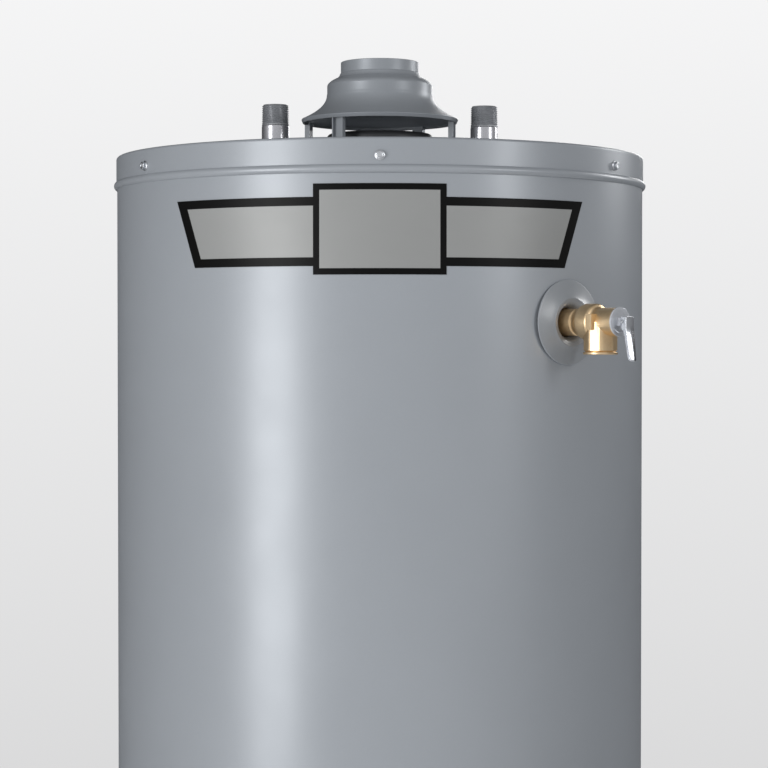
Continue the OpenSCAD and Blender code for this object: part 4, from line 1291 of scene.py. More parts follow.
    def lever(self) -> None:
        """Folds the test lever: two cheeks over the ears and a ridged handle."""
        sheet, top = 0.9, self.pivot + 5.0
        stations = [  # height above the pivot, half width, depth of the cheeks, ridge, outward lean
            (4.6, 4.9, 3.4, 0.0, -0.9), (4.2, 5.1, 5.6, 0.0, -0.2),
            (2.5, 5.1, 7.4, 0.0, 0.0), (-3.0, 5.1, 7.4, 0.0, 0.0),
            (-5.6, 5.1, 6.4, 0.3, 0.0), (-8.0, 5.1, 3.6, 0.8, 0.0), (-11.0, 5.0, 3.0, 1.1, 0.0),
            (-20.0, 4.7, 2.9, 1.2, 0.0), (-28.0, 4.3, 2.8, 1.2, 0.0), (-32.4, 4.0, 2.6, 1.1, 0.0),
            (self.lever_end + 0.5, 3.5, 2.2, 0.9, -0.1), (self.lever_end, 2.7, 1.6, 0.6, -0.3)]
        sections = []
        for y, half, depth, ridge, lean in stations:
            z = top + lean + max(0.0, -6 - y) * self.lean
            rim = sheet * 0.9
            outer = [(-half, z - depth), (-half, z - 0.5), (-half + 0.4, z - 0.1),
                     (-half * 0.45, z + ridge * 0.45),
                     (-0.5, z + ridge * 0.95), (0.5, z + ridge * 0.95), (half * 0.45, z + ridge * 0.45),
                     (half - 0.4, z - 0.1), (half, z - 0.5), (half, z - depth)]
            inner = [(half - rim, z - depth), (half - rim, z - sheet - 0.2),
                     (half * 0.4, z + ridge * 0.4 - sheet),
                     (0.3, z + ridge * 0.85 - sheet), (-0.3, z + ridge * 0.85 - sheet),
                     (-half * 0.4, z + ridge * 0.4 - sheet), (-half + rim, z - sheet - 0.2),
                     (-half + rim, z - depth)]
            sections.append([(x, y, height) for x, height in [*outer, *inner]])
        folded = Shape(self.place()).lofted(sections)
        fitted(folded.built("relief_lever_handle", 0.12), BRIGHT_STEEL, "bright_steel", "relief_lever",
               body="relief_lever")

    def works(self) -> None:
        """Turns the stem with its disc, and winds the spring that holds it shut."""
        stem = Shape(self.place()).turned(
            [(0, 280.05), (8.8, 280.05), (9.2, 280.4), (9.2, 283.1), (8.8, 283.45), (3.4, 283.45),
             (2.0, 284.6),
             (1.6, 285.6), (1.6, 319), *arc(0, 317.8, 1.6, 50, 90, 4)], 48)
        fitted(stem.built("relief_stem_turning"), BRASS, "brass", "relief_stem", body="relief_stem")
        start, end = low_along("relief_spring", self.place()), high_along("relief_spring", self.place())
        turns, steps = 8, 32
        rise = end - start - 2 * self.wire_r
        coil = [Vector((self.spring_r * math.cos(a), self.spring_r * math.sin(a),
                        start + self.wire_r + rise * a / (2 * math.pi * turns)))
                for a in (2 * math.pi * i / steps for i in range(turns * steps + 1))]
        wound = Shape(self.place()).swept(coil, self.wire_r, 12).built("relief_spring_coil")
        fitted(wound, RAW_STEEL, "raw_steel", "relief_spring")
        axis = self.place().to_3x3() @ Vector((0, 0, 1))
        self.place(end).translation * MM
        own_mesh(wound)

    def build(self) -> None:
        """Builds the whole valve."""
        self.rose()
        self.body()
        self.cap()
        self.lever()
        self.works()


def along(node: str, place: Matrix) -> list[float]:
    """Distances of a node's points along a place's Z axis, in millimetres."""
    back = place.inverted()
    return [(back @ (v.co / MM)).z for v in frame["nodes"][node].data.vertices]


def low_along(node: str, place: Matrix) -> float:
    """Where a node starts along a place's Z axis."""
    return min(along(node, place))


def high_along(node: str, place: Matrix) -> float:
    """Where a node ends along a place's Z axis."""
    return max(along(node, place))


@dataclass
class DrainValve:
    """The brass drain valve with its hose thread and handwheel."""

    azimuth: float
    height: float
    hex_across: float = 30.0
    barrel_r: float = 14.0
    mouth: float = 300.0
    outlet_at: float = 286.0
    hose_r: float = 13.45
    hose_start: float = 18.0
    hose_end: float = 34.0
    hose_pitch: float = 2.21
    port_r: float = 9.6
    stem_r: float = 4.2
    wheel_r: float = 23.0
    wheel_low: float = 322.0

    def place(self, distance: float = 0.0) -> Matrix:
        """The valve's own place, at a distance from the tank's axis."""
        return outward(self.azimuth, self.height) @ Matrix.Translation((0, 0, distance))

    def body(self) -> None:
        """Casts the body, its hexagon and its hose outlet."""
        shank_start = high("tank_shell").x - 6
        nut_low, nut_high, half = JACKET_R + 3, JACKET_R + 11, self.hex_across / 2
        shank = [(0, shank_start), (SHANK_R, shank_start), (SHANK_R, nut_low - 0.2), (half - 1.0, nut_low)]
        nut = [(half - 0.1, nut_low + 0.6), (half, nut_low + 0.8), (half, nut_high - 0.8),
               (half - 0.1, nut_high - 0.6)]
        barrel = [(self.barrel_r, nut_high), (self.barrel_r, self.mouth - 2.2),
                  (self.barrel_r + 0.5, self.mouth - 1.8),
                  (self.barrel_r + 0.5, self.mouth - 0.4), (self.barrel_r + 0.1, self.mouth), (0, self.mouth)]
        core = Shape(self.place()).turned([*shank, *nut, *barrel], 96,
                                          flats(6, nut_low + 0.5, nut_high - 0.5))
        down = self.place(self.outlet_at) @ DOWNWARD
        heights = climb(self.hose_start + 0.2, self.hose_end - 0.9, self.hose_pitch / 8)
        rows = [(self.hose_r, z) for z in heights]
        spout = Shape(down).turned(
            [(0, 0), (12.2, 0), (12.2, self.hose_start - 2),
             *curve((12.2, self.hose_start - 2), (12.2, self.hose_start), (13.2, self.hose_start), 4),
             *rows, (self.hose_r - 1.3, self.hose_end - 0.2), (self.hose_r - 1.6, self.hose_end),
             (0, self.hose_end)],
            80, thread(self.hose_pitch, 1.0, self.hose_start + 0.6, self.hose_end - 0.4, 12.5,
                       self.hose_r + 1))
        port = Shape(down).turned(rod(self.port_r, 0, 60), 64)
        way = Shape(self.place()).turned([(0, 180), (7, 180), (7, 277), (11, 277), (11, 320), (0, 320)], 64)
        made = core.built("drain_casting", joined=[spout], cut=[port, way])
        fitted(made, BRASS, "brass", "drain_body")

    def bonnet(self) -> None:
        """Turns the bonnet nut with its packing gland."""
        bottom, half = self.mouth + 0.1, 13.5
        bore = self.stem_r + 0.05
        outline = [(bore, bottom - 5.1), (10.5, bottom - 5.1), (10.9, bottom - 4.7), (10.9, bottom),
                   (half - 1, bottom),
                   (half, bottom + 0.7), (half, bottom + 7.2), (half - 0.9, bottom + 7.9), (9.4, bottom + 8),
                   (8.5, bottom + 8.6), (8.5, bottom + 12.2), (7.8, bottom + 12.9),
                   (bore + 0.5, bottom + 12.9),
                   (bore, bottom + 12.5)]
        nut = Shape(self.place()).turned(outline, 96, flats(6, bottom + 0.6, bottom + 7.3))
        fitted(nut.built("drain_bonnet_nut", 0.2), BRASS, "brass", "drain_bonnet")

    def handwheel(self) -> None:
        """Casts the scalloped handwheel with five spokes, and turns its stem and screw."""
        z, r = self.wheel_low, self.wheel_r
        rim_in, rim_low, rim_high = r - 5.5, z + 1.5, z + 7.5
        rim = Shape(self.place()).turned(
            [(rim_in, rim_low + 2), (rim_in + 1.4, rim_low + 0.3), (r - 2, rim_low),
             (r - 0.5, rim_low + 0.8), (r, rim_low + 3),
             (r - 0.5, rim_high - 0.8), (r - 2, rim_high), (rim_in + 1.4, rim_high - 0.3),
             (rim_in, rim_high - 2)],
            160, scallops(10, 1.5, 0, 1e4, r - 2.6))
        hub = Shape(self.place()).turned(
            [(self.stem_r + 0.02, z), (7.4, z), (8, z + 0.6), (8, z + 8.4), (7.4, z + 9),
             (self.stem_r + 0.02, z + 9)], 48)
        spokes = []
        for i in range(5):
            turn = spin(72 * i)
            loops = [[(x, s * w, z + 4.5 + t * h) for s, t in ((-1, -1), (1, -1), (1, 1), (-1, 1))]
                     for x, w, h in ((6.4, 2.6, 2.2), (12, 1.9, 1.7), (18.6, 2.4, 2.0))]
            spokes.append(Shape(self.place() @ turn).lofted(loops))
        made = rim.built("drain_wheel_casting", 0.45, joined=[*spokes, hub])
        fitted(made, BLUE_ENAMEL, "handwheel_paint", "drain_handwheel", body="drain_stem")
        stem = Shape(self.place()).turned(
            [(0, 280.1), (7.2, 280.1), (7.5, 280.4), (7.5, 283.8), (7.1, 284.1), (self.stem_r, 284.4),
             (self.stem_r, 331.6),
             (self.stem_r - 0.4, 332), (0, 332)], 64)
        fitted(stem.built("drain_stem_turning"), BRASS, "brass", "drain_stem", body="drain_stem")
        seat = low_along("drain_wheel_screw", self.place())
        slot = Shape(self.place()).extruded(rectangle(-0.5, -5, 1, 10), seat + 1.4, seat + 4)
        head = Shape(self.place()).turned(
            [(0, seat), (3.9, seat), (4.1, seat + 0.2), (4.1, seat + 1.6),
             *arc(2.9, seat + 1.6, 1.2, 0, 90, 6), (0, seat + 2.8)], 48)
        fitted(head.built("drain_wheel_screw_head", 0.12, cut=[slot]), ZINC, "zinc", "drain_wheel_screw",
               body="drain_stem")

    def build(self) -> None:
        """Builds the whole valve."""
        self.body()
        self.bonnet()
        self.handwheel()
        dressed(frame["nodes"]["drain_washer"], SEAT_RUBBER)


# ------------------------------------------------------------------ gas control and its lines


@dataclass
class GasControl:
    """The gas control: a cast block behind a moulded cover with its dial, knob and buttons."""

    height: float
    block_low: float = 266.0
    block_high: float = 318.0
    plate_low: float = 318.3
    plate_high: float = 334.0
    plate_w: float = 124.0
    plate_h: float = 90.0
    inlet_at: float = 290.0
    line_at: float = 292.0
    inlet_pitch: float = 1.411
    grips: int = 20

    def place(self, node: str | None = None) -> Matrix:
        """The control's place, or the place of one of its knobs or buttons."""
        if node is None:
            return outward(0, self.height)
        here = middle(node)
        return outward(0, self.height, here.x, here.z - self.height)

    def block(self) -> None:
        """Casts the block with its shank, inlet boss and the bosses of the three lines."""
        core = Shape(self.place()).extruded(rounded(76, 92, 8), self.block_low, self.block_high)
        start = high("tank_shell").x - 6
        shank = Shape(self.place()).turned([(0, start), (SHANK_R, start), (SHANK_R, self.block_low - 4),
                                            (16.5, self.block_low - 0.5),
                                            (16.5, self.block_low + 1), (0, self.block_low + 1)], 64)
        side = self.place() @ Matrix.Translation((0, 0, self.inlet_at)) @ RIGHTWARD
        boss = Shape(side).turned([(0, 34), (17, 34), (17, 50.6), (16.2, 51.8), (15.4, 52), (0, 52)], 72)
        joined = [shank, boss]
        under = self.place() @ Matrix.Translation((0, 0, self.line_at)) @ DOWNWARD
        cuts = []
        for x, boss_r, tube_r in ((0, 11, 6.3), (20, 5.2, 3.2), (32, 4.6, 1.6)):
            at = under @ Matrix.Translation((x, 0, 0))
            joined.append(Shape(at).turned([(0, 40), (boss_r, 40), (boss_r, 51.4), (boss_r - 0.5, 52),
                                            (0, 52)], 48))
            cuts.append(Shape(at).turned(rod(tube_r + 0.3, 44, 60), 32))
        for y in (-30, 30):
            joined.append(Shape(self.place()).extruded([(x, y + v) for x, v in rounded(79, 9, 3)],
                                                       self.block_low + 8, self.block_high - 8))
        bore = [(9.4, z) for z in climb(30, 50.6, self.inlet_pitch / 6)]
        cuts.append(Shape(side).turned([(0, 30), *bore, (10.4, 52.2), (10.4, 54), (0, 54)], 64,
                                       thread(self.inlet_pitch, -0.7, 30.4, 51.4, 9, 9.6)))
        fitted(core.built("control_casting", 0.9, joined=joined, cut=cuts, steps=3), CAST_ALUMINIUM,
               "cast_aluminium", "control_body")

    def cover(self) -> None:
        """Moulds the cover with a bezel round the dial, and prints its marks."""
        w, h = self.plate_w, self.plate_h
        levels = [(0, 0.6), (0, 0), (0, 0), (0.5, 0), (1.6, 0), (3.0, 0)]
        heights = [self.plate_low, self.plate_low + 0.8, self.plate_high - 4, self.plate_high - 2.2,
                   self.plate_high - 0.7, self.plate_high]
        sections = []
        for (inset, draft), z in zip(levels, heights):
            gap = inset + draft
            sections.append([(x, y, z) for x, y in rounded(w - 2 * gap, h - 2 * gap, 10 - gap, 8)])
        shell = Shape(self.place()).lofted(sections)
        hollow = Shape(self.place()).extruded(rounded(w - 5, h - 5, 7.5, 8), self.plate_low - 3,
                                              self.plate_high - 2)
        cuts = [hollow]
        for node, r in (("temperature_dial", 6.05), ("gas_knob", 5.05), ("pilot_button", 6.05),
                        ("igniter_button", 5.55)):
            cuts.append(Shape(self.place(node)).turned(rod(r, 300, 360), 64))
        dial = self.place("temperature_dial")
        top = self.plate_high
        for node, r, half, segments in (("temperature_dial", 31.5, 0.5, 96), ("pilot_button", 8.4, 0.4, 72),
                                        ("igniter_button", 8.0, 0.4, 72), ("gas_knob", 17.6, 0.4, 72)):
            groove = [(r - half, top - half), (r + half, top - half),
                      (r + half, top + 2), (r - half, top + 2)]
            cuts.append(Shape(self.place(node)).turned(groove, segments))
        fitted(shell.built("control_cover_moulding", 0.3, cut=cuts), BLACK_PLASTIC, "control_plastic",
               "control_cover")
        marks = Shape()
        face = self.plate_high - 0.02
        count = 13
        for i in range(count):
            turn = spin(140 - 280 * i / (count - 1))
            long_mark = i % 3 == 0
            thick = 0.5 + 0.07 * i
            outer = 29.6 if long_mark else 28.2
            marks.at(dial @ turn).extruded(rectangle(-thick / 2, 25.6, thick, outer - 25.6), face,
                                           face + 0.15)
        knob = self.place("gas_knob")
        for angle in (0, -90, -180):
            turn = spin(angle)
            marks.at(knob @ turn @ Matrix.Translation((0, 19.6, 0))).turned(rod(0.9, face, face + 0.15), 20)
        fitted(marks.built("control_marks"), PRINT_WHITE, "control_plastic")

    def dial(self) -> None:
        """Moulds the knurled temperature dial with its pointer."""
        r, z = (high("temperature_dial").x - low("temperature_dial").x) / 2, self.plate_high
        outline = [(0, z - 10), (6, z - 10), (6, z + 0.5), (r - 0.4, z + 0.5), (r, z + 0.9), (r, z + 3.6),
                   *arc(r - 0.9, z + 3.6, 0.9, 0, 80, 4),
                   *curve((r - 3.6, z + 4.8), (r - 4, z + 4.8), (r - 4, z + 6), 4),
                   (r - 4.2, z + 11.6), *arc(r - 5.6, z + 11.6, 1.4, 0, 85, 5),
                   (r - 9, z + 12.6), (0, z + 12.2)]
        notch = scallops(self.grips, 0.9, z + 4.9, z + 12.9, r - 5.3)
        place = self.place("temperature_dial")
        groove = Shape(place).extruded(rectangle(-0.6, r - 12, 1.2, 14), z + 11.6, z + 15)
        made = Shape(place).turned(outline, 240, notch).built("dial_moulding", cut=[groove])
        fitted(made, BLACK_PLASTIC, "control_plastic", "temperature_dial", body="temperature_dial")
        pointer = Shape(place).extruded(rounded_bar(-0.5, r - 11.6, 1.0, 6.8), z + 11.0, z + 11.9)
        pointer.extruded(rounded_bar(-0.5, r - 3.0, 1.0, 2.4), z + 4.2, z + 4.75)
        fitted(pointer.built("dial_pointer"), PRINT_WHITE, "control_plastic", body="temperature_dial")

    def knob(self) -> None:
        """Moulds the gas knob: a disc with a tapered grip bar."""
        z, place = self.plate_high, self.place("gas_knob")
        disc = Shape(place).turned([(0, z - 10), (5, z - 10), (5, z + 0.5), (14.6, z + 0.5), (15, z + 0.9),
                                    (15, z + 3.5),
                                    *arc(14, z + 3.5, 1.0, 0, 85, 5), (0, z + 4.7)], 96)
        grip = [[(x, y, z + up) for x, y in rounded(width, length, width / 2 - 0.05, 6)]
                for up, width, length in ((3.6, 7.4, 28.4), (5.2, 6.4, 28), (12.6, 5.4, 27),
                                          (13.6, 4.8, 26.4), (14, 3.8, 25.2))]
        made = disc.built("gas_knob_moulding", 0.25, joined=[Shape(place).lofted(grip)])
        fitted(made, BLACK_PLASTIC, "control_plastic", "gas_knob", body="gas_knob")
        line = Shape(place).extruded(rounded_bar(-0.5, 4.5, 1.0, 7.6), z + 13.8, z + 14.05)
        fitted(line.built("gas_knob_line"), PRINT_WHITE, "control_plastic", body="gas_knob")

    def buttons(self) -> None:
        """Moulds the two buttons and the igniter's barrel."""
        for node, name in (("pilot_button", "pilot_button_cap"), ("igniter_button", "igniter_button_cap")):
            r = (high(node).x - low(node).x) / 2
            back, front = -high(node).y, -low(node).y
            outline = [(0, back), (r, back), (r, front - 1.6), *arc(r - 1.2, front - 1.6, 1.2, 0, 70, 6),
                       *arc(0, front - 2.6 * r, 2.6 * r - 0.1, 72, 90, 6)]
            cap = Shape(self.place(node)).turned([*outline[:-1], (0, front - 0.1)], 64)
            fitted(cap.built(name), RED_PLASTIC, "button_red", node, body=node)
        place = self.place("igniter_body")
        barrel = Shape(place).turned([(0, 296), (6.8, 296), (7.8, 297), (7.8, 329.4), (7.2, 330),
                                      (5.55, 330), (5.55, 310), (0, 310)], 64)
        fitted(barrel.built("igniter_barrel"), BLACK_PLASTIC, "control_plastic", "igniter_body")

    def nuts(self) -> None:
        """Cuts the three tube nuts."""
        nuts = Shape()
        under = self.place() @ Matrix.Translation((0, 0, self.line_at)) @ DOWNWARD
        for x, r, across in ((0, 6.3, 19), (20, 3.2, 10), (32, 1.6, 8.6)):
            half, bore = across / 2, r + 0.15
            start, end = 52.2, 60.2
            nuts.at(under @ Matrix.Translation((x, 0, 0))).turned(
                [(bore, start), (half - 0.5, start), (half, start + 0.5), (half, end - 1.6),
                 (half - 0.4, end - 1.2),
                 (half - 0.9, end - 0.9), (r + 1.4, end - 0.5), (r + 0.9, end), (bore, end)], 72,
                flats(6, start + 0.4, end - 1.5))
        fitted(nuts.built("tube_nut_set", 0.12), BRASS, "brass", "tube_nuts")

    def build(self) -> None:
        """Builds the whole control."""
        self.block()
        self.cover()
        self.dial()
        self.knob()
        self.buttons()
        self.nuts()


def rounded_bar(x: float, y: float, width: float, height: float) -> list[Flat]:
    """A bar with round ends, by its lower left corner and its size."""
    return [(x + width / 2 + u, y + height / 2 + v) for u, v in rounded(width, height, width / 2 - 0.01, 5)]


@dataclass(frozen=True)
class GasLine:
    """One line from the gas control down to the burner, held at both ends."""

    node: str
    name: str
    stations: tuple[tuple[float, float, float], ...]
    radius: float
    bend: float
    finish: Finish
    slot: str

    def build(self) -> None:
        """Sweeps the line along its route."""
        line = Shape().swept(smooth_route(self.stations, self.bend), self.radius, 28)
        fitted(line.built(self.name), self.finish, self.slot, self.node)


GAS_LINES = (
    GasLine("manifold_tube", "manifold_line",
            ((0, -292, 345), (0, -292, 310), (0, -238, 262), (0, -238, 180), (0, -190, 144), (0, -106, 144)),
            6.3, 26, ALUMINIUM, "tube_aluminium"),
    GasLine("pilot_tube", "pilot_line",
            ((20, -292, 345), (20, -292, 312), (20, -242, 268), (20, -242, 190), (22, -190, 160),
             (28, -110, 157), (28, -106.7, 163.5)),
            3.2, 20, ALUMINIUM, "tube_aluminium"),
    GasLine("thermocouple_lead", "thermocouple_line",
            ((32, -292, 345), (32, -292, 314), (30, -246, 268), (30, -246, 200), (32, -190, 162),
             (38, -110, 157), (38, -106, 165)),
            1.6, 20, COPPER, "lead_copper"),
    GasLine("igniter_lead", "igniter_line",
            ((46, -295, 375), (46, -282, 330), (40, -248, 274), (40, -248, 210), (42, -190, 164),
             (48, -110, 157), (48, -106, 165)),
            1.5, 24, SILICONE, "lead_silicone"),
)


# ------------------------------------------------------------------ doors


@dataclass
class AccessDoors:
    """The sealed inner door with its sight glass, and the lift-off outer door."""

    inner_half: float = 86.0
    inner_low: float = 95.0
    inner_high: float = 246.0
    glass_azimuth: float = -13.0
    glass_height: float = 205.0
    outer_half: float = 114.0
    outer_low: float = 84.0
    outer_high: float = 312.0
    notch_low: float = 250.0
    slot_half: float = 45.0
    slot_low: float = 112.0
    slot_pitch: float = 16.0
    slot_h: float = 5.0
    slots: int = 4

    def inner(self) -> None:
        """Builds the inner door, its glass and its screws."""
        tank = high("tank_shell").x
        face = tank + 3.2
        plate = Shape().wrapped([(-self.inner_half, self.inner_low), (self.inner_half, self.inner_low),
                                 (self.inner_half, self.inner_high), (-self.inner_half, self.inner_high)],
                                tank + 1.7, face)
        holes = Shape()
        for x, z, r in ((0, 154.5, 11), (21.4, 168, 6), (31.5, 171.5, 4), (41.5, 175.2, 4)):
            holes.at(outward(0, z, x)).turned(rod(r, tank - 30, tank + 30), 40)
        holes.at(outward(self.glass_azimuth, self.glass_height)).turned(rod(10, 150, 300), 48)
        screws = Shape()
        for x in (-77, 77):
            for z in (103, 237):
                place = outward(math.degrees(math.asin(x / tank)), z)
                holes.at(place).turned(rod(2.1, tank - 10, tank + 10), 24)
                SheetScrew().draw(screws, place @ Matrix.Translation((0, 0, face + 0.1)))
        fitted(plate.built("inner_door_plate", 0.3, cut=[holes]), DOOR_PAINT, "inner_door_paint",
               "inner_door")
        fitted(screws.built("inner_door_screw_heads"), ZINC, "zinc", "inner_door_screws")
        fitted(eased_copy("door_gasket", "door_gasket_rope", 0.3), GASKET, "gasket_fibre", "door_gasket")
        glass = outward(self.glass_azimuth, self.glass_height) @ Matrix.Translation((0, 0, face + 0.1))
        pane = Shape(glass).turned([(0, 0), (12.4, 0), (13, 0.5), (13, 1.9), (12.3, 2.5), (9.6, 2.5),
                                    (9.2, 2.0), (0, 2.2)], 64)
        fitted(pane.built("sight_glass_pane"), SIGHT_GLASS, "sight_glass", "sight_glass")

    def outer(self) -> None:
        """Presses the outer door with its notch, its hooded louvres and its grip."""
        back, face = JACKET_R + 0.5, JACKET_R + 1.3
        plate = Shape().wrapped([(-self.outer_half, self.outer_low), (self.outer_half, self.outer_low),
                                 (self.outer_half, self.outer_high), (-self.outer_half, self.outer_high)],
                                back, face, 96)
        cuts = Shape().extruded(rectangle(-14, -JACKET_R - 20, 72, 60), self.notch_low, self.notch_low + 100)
        hoods = Shape()
        for i in range(self.slots):
            bottom = self.slot_low + i * self.slot_pitch
            slot = rounded(2 * self.slot_half, self.slot_h, 2.4)
            cuts.at(outward(0, bottom + self.slot_h / 2)).extruded(slot, 200, 300)
            self.louvre(hoods, bottom, bottom + self.slot_h, face)
        door = plate.built("outer_door_pressing", 0.22, cut=[cuts])
        fitted(door, CASING_PAINT, "casing_paint", "outer_door", body="outer_door")
        fitted(hoods.built("outer_door_louvres"), CASING_PAINT, "casing_paint", body="outer_door")
        grip = Shape()
        lip = JACKET_R + 5.8
        profile = [(face - 0.3, 238.5),
                   *curve((face + 0.2, 237.4), (face + 0.6, 236.2), (face + 2, 236), 4), (lip - 0.6, 236),
                   (lip, 235.4), (lip, 233), (lip - 0.7, 232.4), (lip - 1.3, 233), (lip - 1.5, 234.6),
                   (face + 1, 234.6), (face - 0.3, 234)]
        sections = []
        for i in range(41):
            x = -34 + 68 * i / 40
            ease = min(1.0, (34 - abs(x)) / 5 + 0.15) ** 0.5
            loop = [(face - 0.3 + (r - face + 0.3) * ease, z) for r, z in profile]
            sections.append([(x, -math.sqrt(r * r - x * x), z) for r, z in loop])
        grip.lofted(sections)
        fitted(grip.built("outer_door_grip", 0.15), CASING_PAINT, "casing_paint", body="outer_door")

    def louvre(self, shape: Shape, bottom: float, top: float, face: float) -> None:
        """Adds the hood over one louvre slot.

        Args:
            shape: the shape of all the hoods.
            bottom: height of the slot's lower edge.
            top: height of its upper edge.
            face: radius of the door's face.
        """
        sheet, bulge = 0.7, 3.6
        half = self.slot_half + 2
        quarter = [math.radians(a) for a in range(0, 91, 10)]
        sections = []
        for i in range(49):
            x = -half + 2 * half * i / 48
            ease = max(0.02, 1 - (abs(x) / half) ** 8) ** 0.5
            loop = []
            for reach, shift in ((bulge, 0.0), (bulge - sheet, -sheet)):
                line = [(face - 0.4 + (0.4 + reach * math.sin(a)) * ease,
                         bottom + (top + 2 + shift - bottom) * math.cos(a)) for a in quarter]
                loop += line if not shift else line[::-1]
            sections.append([(x, -math.sqrt(r * r - x * x), z) for r, z in loop])
        shape.at(Matrix.Identity(4)).lofted(sections)

    def build(self) -> None:
        """Builds both doors."""
        self.inner()
        self.outer()


# ------------------------------------------------------------------ insides


INSIDES: dict[str, Finish] = {
    "tank_shell": TANK_ENAMEL, "tank_top_head": TANK_ENAMEL, "tank_bottom_head": TANK_ENAMEL,
    "tank_spuds": RAW_STEEL, "flue_tube": FLUE_STEEL, "flue_baffle": FLUE_STEEL, "foam_insulation": FOAM,
    "chamber_insulation": GLASS_WOOL, "dip_tube": LINER_PLASTIC, "anode_rod": MAGNESIUM,
    "relief_probe": BRASS, "control_probe": BRASS, "burner": BURNER_STEEL, "pilot_assembly": RAW_STEEL,
}


def dress_insides() -> None:
    """Dresses the nodes that stay, and eases the edges of the flame arrestor."""
    for node, finish in INSIDES.items():
        dressed(frame["nodes"][node], finish)
    fitted(eased_copy("flame_arrestor", "flame_arrestor_plate", 0.4), CERAMIC, "arrestor_ceramic",
           "flame_arrestor")
    log.info("insides: %d nodes dressed", len(INSIDES))


# ------------------------------------------------------------------ studio


@dataclass(frozen=True)
class SoftBox:
    """A soft studio light that looks at the heater."""

    name: str
    azimuth: float
    distance: float
    height: float
    width: float
    tall: float
    power: float
    aim_height: float
    tint: Colour = (1.0, 1.0, 1.0)

    def hang(self) -> None:
        """Hangs the light."""
        lamp = bpy.data.lights.new(self.name, "AREA")
        lamp.shape, lamp.size, lamp.size_y = "RECTANGLE", self.width, self.tall
        lamp.energy, lamp.color = self.power, self.tint
        holder = bpy.data.objects.new(self.name, lamp)
        bpy.context.scene.collection.objects.link(holder)
        angle = math.radians(self.azimuth)
        spot = Vector((self.distance * math.sin(angle), -self.distance * math.cos(angle), self.height))
        aim = Vector((0, 0, self.aim_height)) - spot
        holder.location = spot
        holder.rotation_mode = "QUATERNION"
        holder.rotation_quaternion = aim.to_track_quat("-Z", "Y")


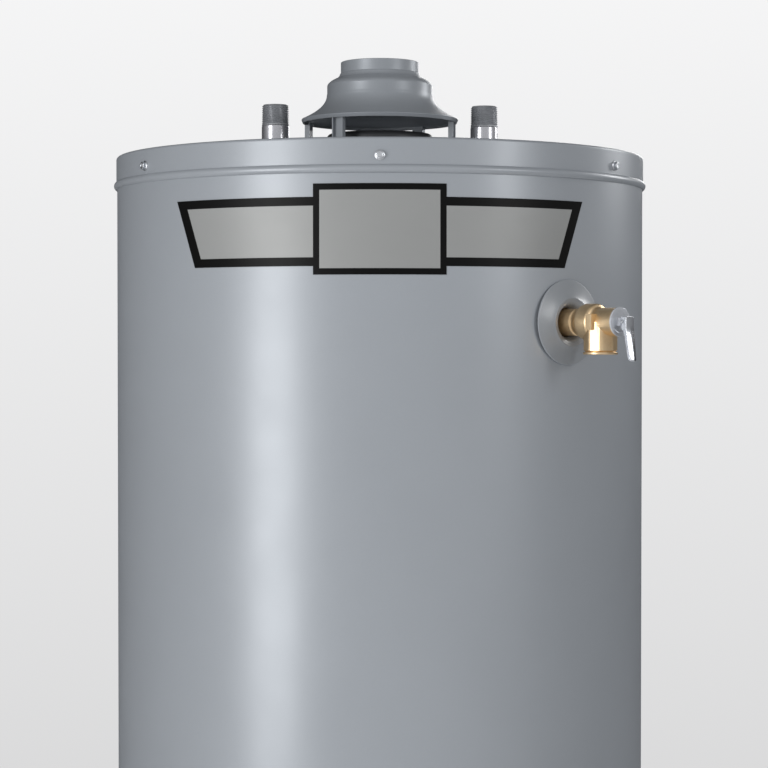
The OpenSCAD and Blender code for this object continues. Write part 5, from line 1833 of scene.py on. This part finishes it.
@dataclass
class Studio:
    """Camera, floor, sky and lights, in metres."""

    eye_below_rim: float = 0.1746
    eye_distance: float = 2.1256
    tilt_down: float = 1.16
    turn_right: float = 0.11
    field_of_view: float = 20.0
    floor_r: float = 3.4
    boxes: tuple[SoftBox, ...] = (
        SoftBox("key_box", -43, 2.3, 1.20, 0.75, 1.5, 23, 1.15),
        SoftBox("side_box", 52, 2.4, 1.80, 0.35, 0.5, 7, 1.35),
        SoftBox("rim_box", 116, 1.9, 2.0, 0.3, 0.7, 9, 1.45),
        SoftBox("back_box", 165, 2.6, 2.1, 1.2, 0.8, 14, 1.0),
    )

    def camera(self) -> None:
        """Sets up the camera in front of the heater's upper half."""
        lens = bpy.data.cameras.new("camera")
        lens.angle = math.radians(self.field_of_view)
        eye = bpy.data.objects.new("camera", lens)
        eye.location = (0, -self.eye_distance, COVER_TOP * MM - self.eye_below_rim)
        eye.rotation_euler = (math.radians(90 - self.tilt_down), 0, -math.radians(self.turn_right))
        bpy.context.scene.collection.objects.link(eye)
        bpy.context.scene.camera = eye

    def floor(self) -> None:
        """Lays a pale round floor whose edge fades out."""
        mesh = bpy.data.meshes.new("studio_floor")
        work = bmesh.new()
        bmesh.ops.create_circle(work, cap_ends=True, segments=96, radius=self.floor_r)
        work.to_mesh(mesh)
        work.free()
        floor = bpy.data.objects.new("studio_floor", mesh)
        bpy.context.scene.collection.objects.link(floor)
        graph = Graph("studio_floor")
        tree = graph.tree
        graph.tree.links.new(graph.tinted(graph.ranged(graph.cloud(300.0, 3.0), 0.0, 1.0), (0.70, 0.70, 0.70),
                                          (0.72, 0.72, 0.72)), graph.shader.inputs["Base Color"])
        graph.shader.inputs["Roughness"].default_value = 0.6
        graph.shader.inputs["Emission Color"].default_value = (0.8, 0.8, 0.81, 1)
        graph.shader.inputs["Emission Strength"].default_value = 0.22
        reach = tree.nodes.new("ShaderNodeVectorMath")
        reach.operation = "LENGTH"
        tree.links.new(graph.coordinates, reach.inputs[0])
        fade = tree.nodes.new("ShaderNodeMapRange")
        fade.interpolation_type = "SMOOTHSTEP"
        tree.links.new(reach.outputs["Value"], fade.inputs["Value"])
        for name, number in (("From Min", 1.2), ("From Max", self.floor_r - 0.1), ("To Min", 0.0),
                             ("To Max", 1.0)):
            fade.inputs[name].default_value = number
        clear = tree.nodes.new("ShaderNodeBsdfTransparent")
        mix = tree.nodes.new("ShaderNodeMixShader")
        tree.links.new(fade.outputs["Result"], mix.inputs[0])
        tree.links.new(graph.shader.outputs[0], mix.inputs[1])
        tree.links.new(clear.outputs[0], mix.inputs[2])
        tree.links.new(mix.outputs[0], tree.nodes["Material Output"].inputs["Surface"])
        mesh.materials.append(graph.material)

    def sky(self) -> None:
        """Paints a pale backdrop for the eye and a softer light for the surfaces."""
        world = bpy.data.worlds.new("studio")
        bpy.context.scene.world = world
        world.use_nodes = True
        tree = world.node_tree
        tree.nodes.clear()
        place = tree.nodes.new("ShaderNodeTexCoord")
        split = tree.nodes.new("ShaderNodeSeparateXYZ")
        tree.links.new(place.outputs["Generated"], split.inputs[0])
        seen = self.shaded(tree, split.outputs["Z"], -0.20, 0.16, (0.70, 0.70, 0.705), (0.915, 0.915, 0.92))
        lit = self.shaded(tree, split.outputs["Y"], 0.45, -0.9, (0.035, 0.035, 0.037), (0.60, 0.605, 0.615))
        ray = tree.nodes.new("ShaderNodeLightPath")
        mix = tree.nodes.new("ShaderNodeMixShader")
        for colour, socket in ((lit, mix.inputs[1]), (seen, mix.inputs[2])):
            glow = tree.nodes.new("ShaderNodeBackground")
            tree.links.new(colour, glow.inputs["Color"])
            tree.links.new(glow.outputs[0], socket)
        tree.links.new(ray.outputs["Is Camera Ray"], mix.inputs[0])
        out = tree.nodes.new("ShaderNodeOutputWorld")
        tree.links.new(mix.outputs[0], out.inputs["Surface"])

    def shaded(self, tree: bpy.types.NodeTree, value: bpy.types.NodeSocket, start: float, end: float,
               below: Colour, above: Colour) -> bpy.types.NodeSocket:
        """A sky colour that runs from below to above.

        Args:
            tree: the sky's nodes.
            value: what the colour follows.
            start: value where below ends.
            end: value where above begins.
            below: first colour.
            above: last colour.

        Returns:
            The colour.
        """
        share = tree.nodes.new("ShaderNodeMapRange")
        share.inputs["From Min"].default_value = start
        share.inputs["From Max"].default_value = end
        tree.links.new(value, share.inputs["Value"])
        mix = tree.nodes.new("ShaderNodeMix")
        mix.data_type = "RGBA"
        mix.inputs[6].default_value = (*below, 1)
        mix.inputs[7].default_value = (*above, 1)
        tree.links.new(share.outputs["Result"], mix.inputs[0])
        return mix.outputs[2]

    def build(self) -> None:
        """Sets the whole studio up."""
        self.camera()
        self.floor()
        self.sky()
        for box in self.boxes:
            box.hang()
        bpy.context.scene.view_settings.view_transform = "Standard"


def main() -> None:
    """Builds the studio and every sub-assembly in order."""
    logging.basicConfig(level=logging.INFO, format="%(name)s: %(message)s")
    Studio().build()
    relief = ReliefValve(joint_azimuth("relief_stem_slide"), middle("relief_probe").z)
    drain = DrainValve(joint_azimuth("drain_lift"), middle("drain_washer").z)
    control = GasControl(middle("control_probe").z)
    Casing().build([(relief.azimuth, relief.height, 17.5), (drain.azimuth, drain.height, 17),
                    (0, control.height, 17)])
    Label().build()
    Venting().build()
    Nipple("cold_nipple").build()
    Nipple("hot_nipple").build()
    nipple_liners()
    relief.build()
    drain.build()
    control.build()
    for line in GAS_LINES:
        line.build()
    AccessDoors().build()
    dress_insides()


if __name__ == "__main__":
    main()
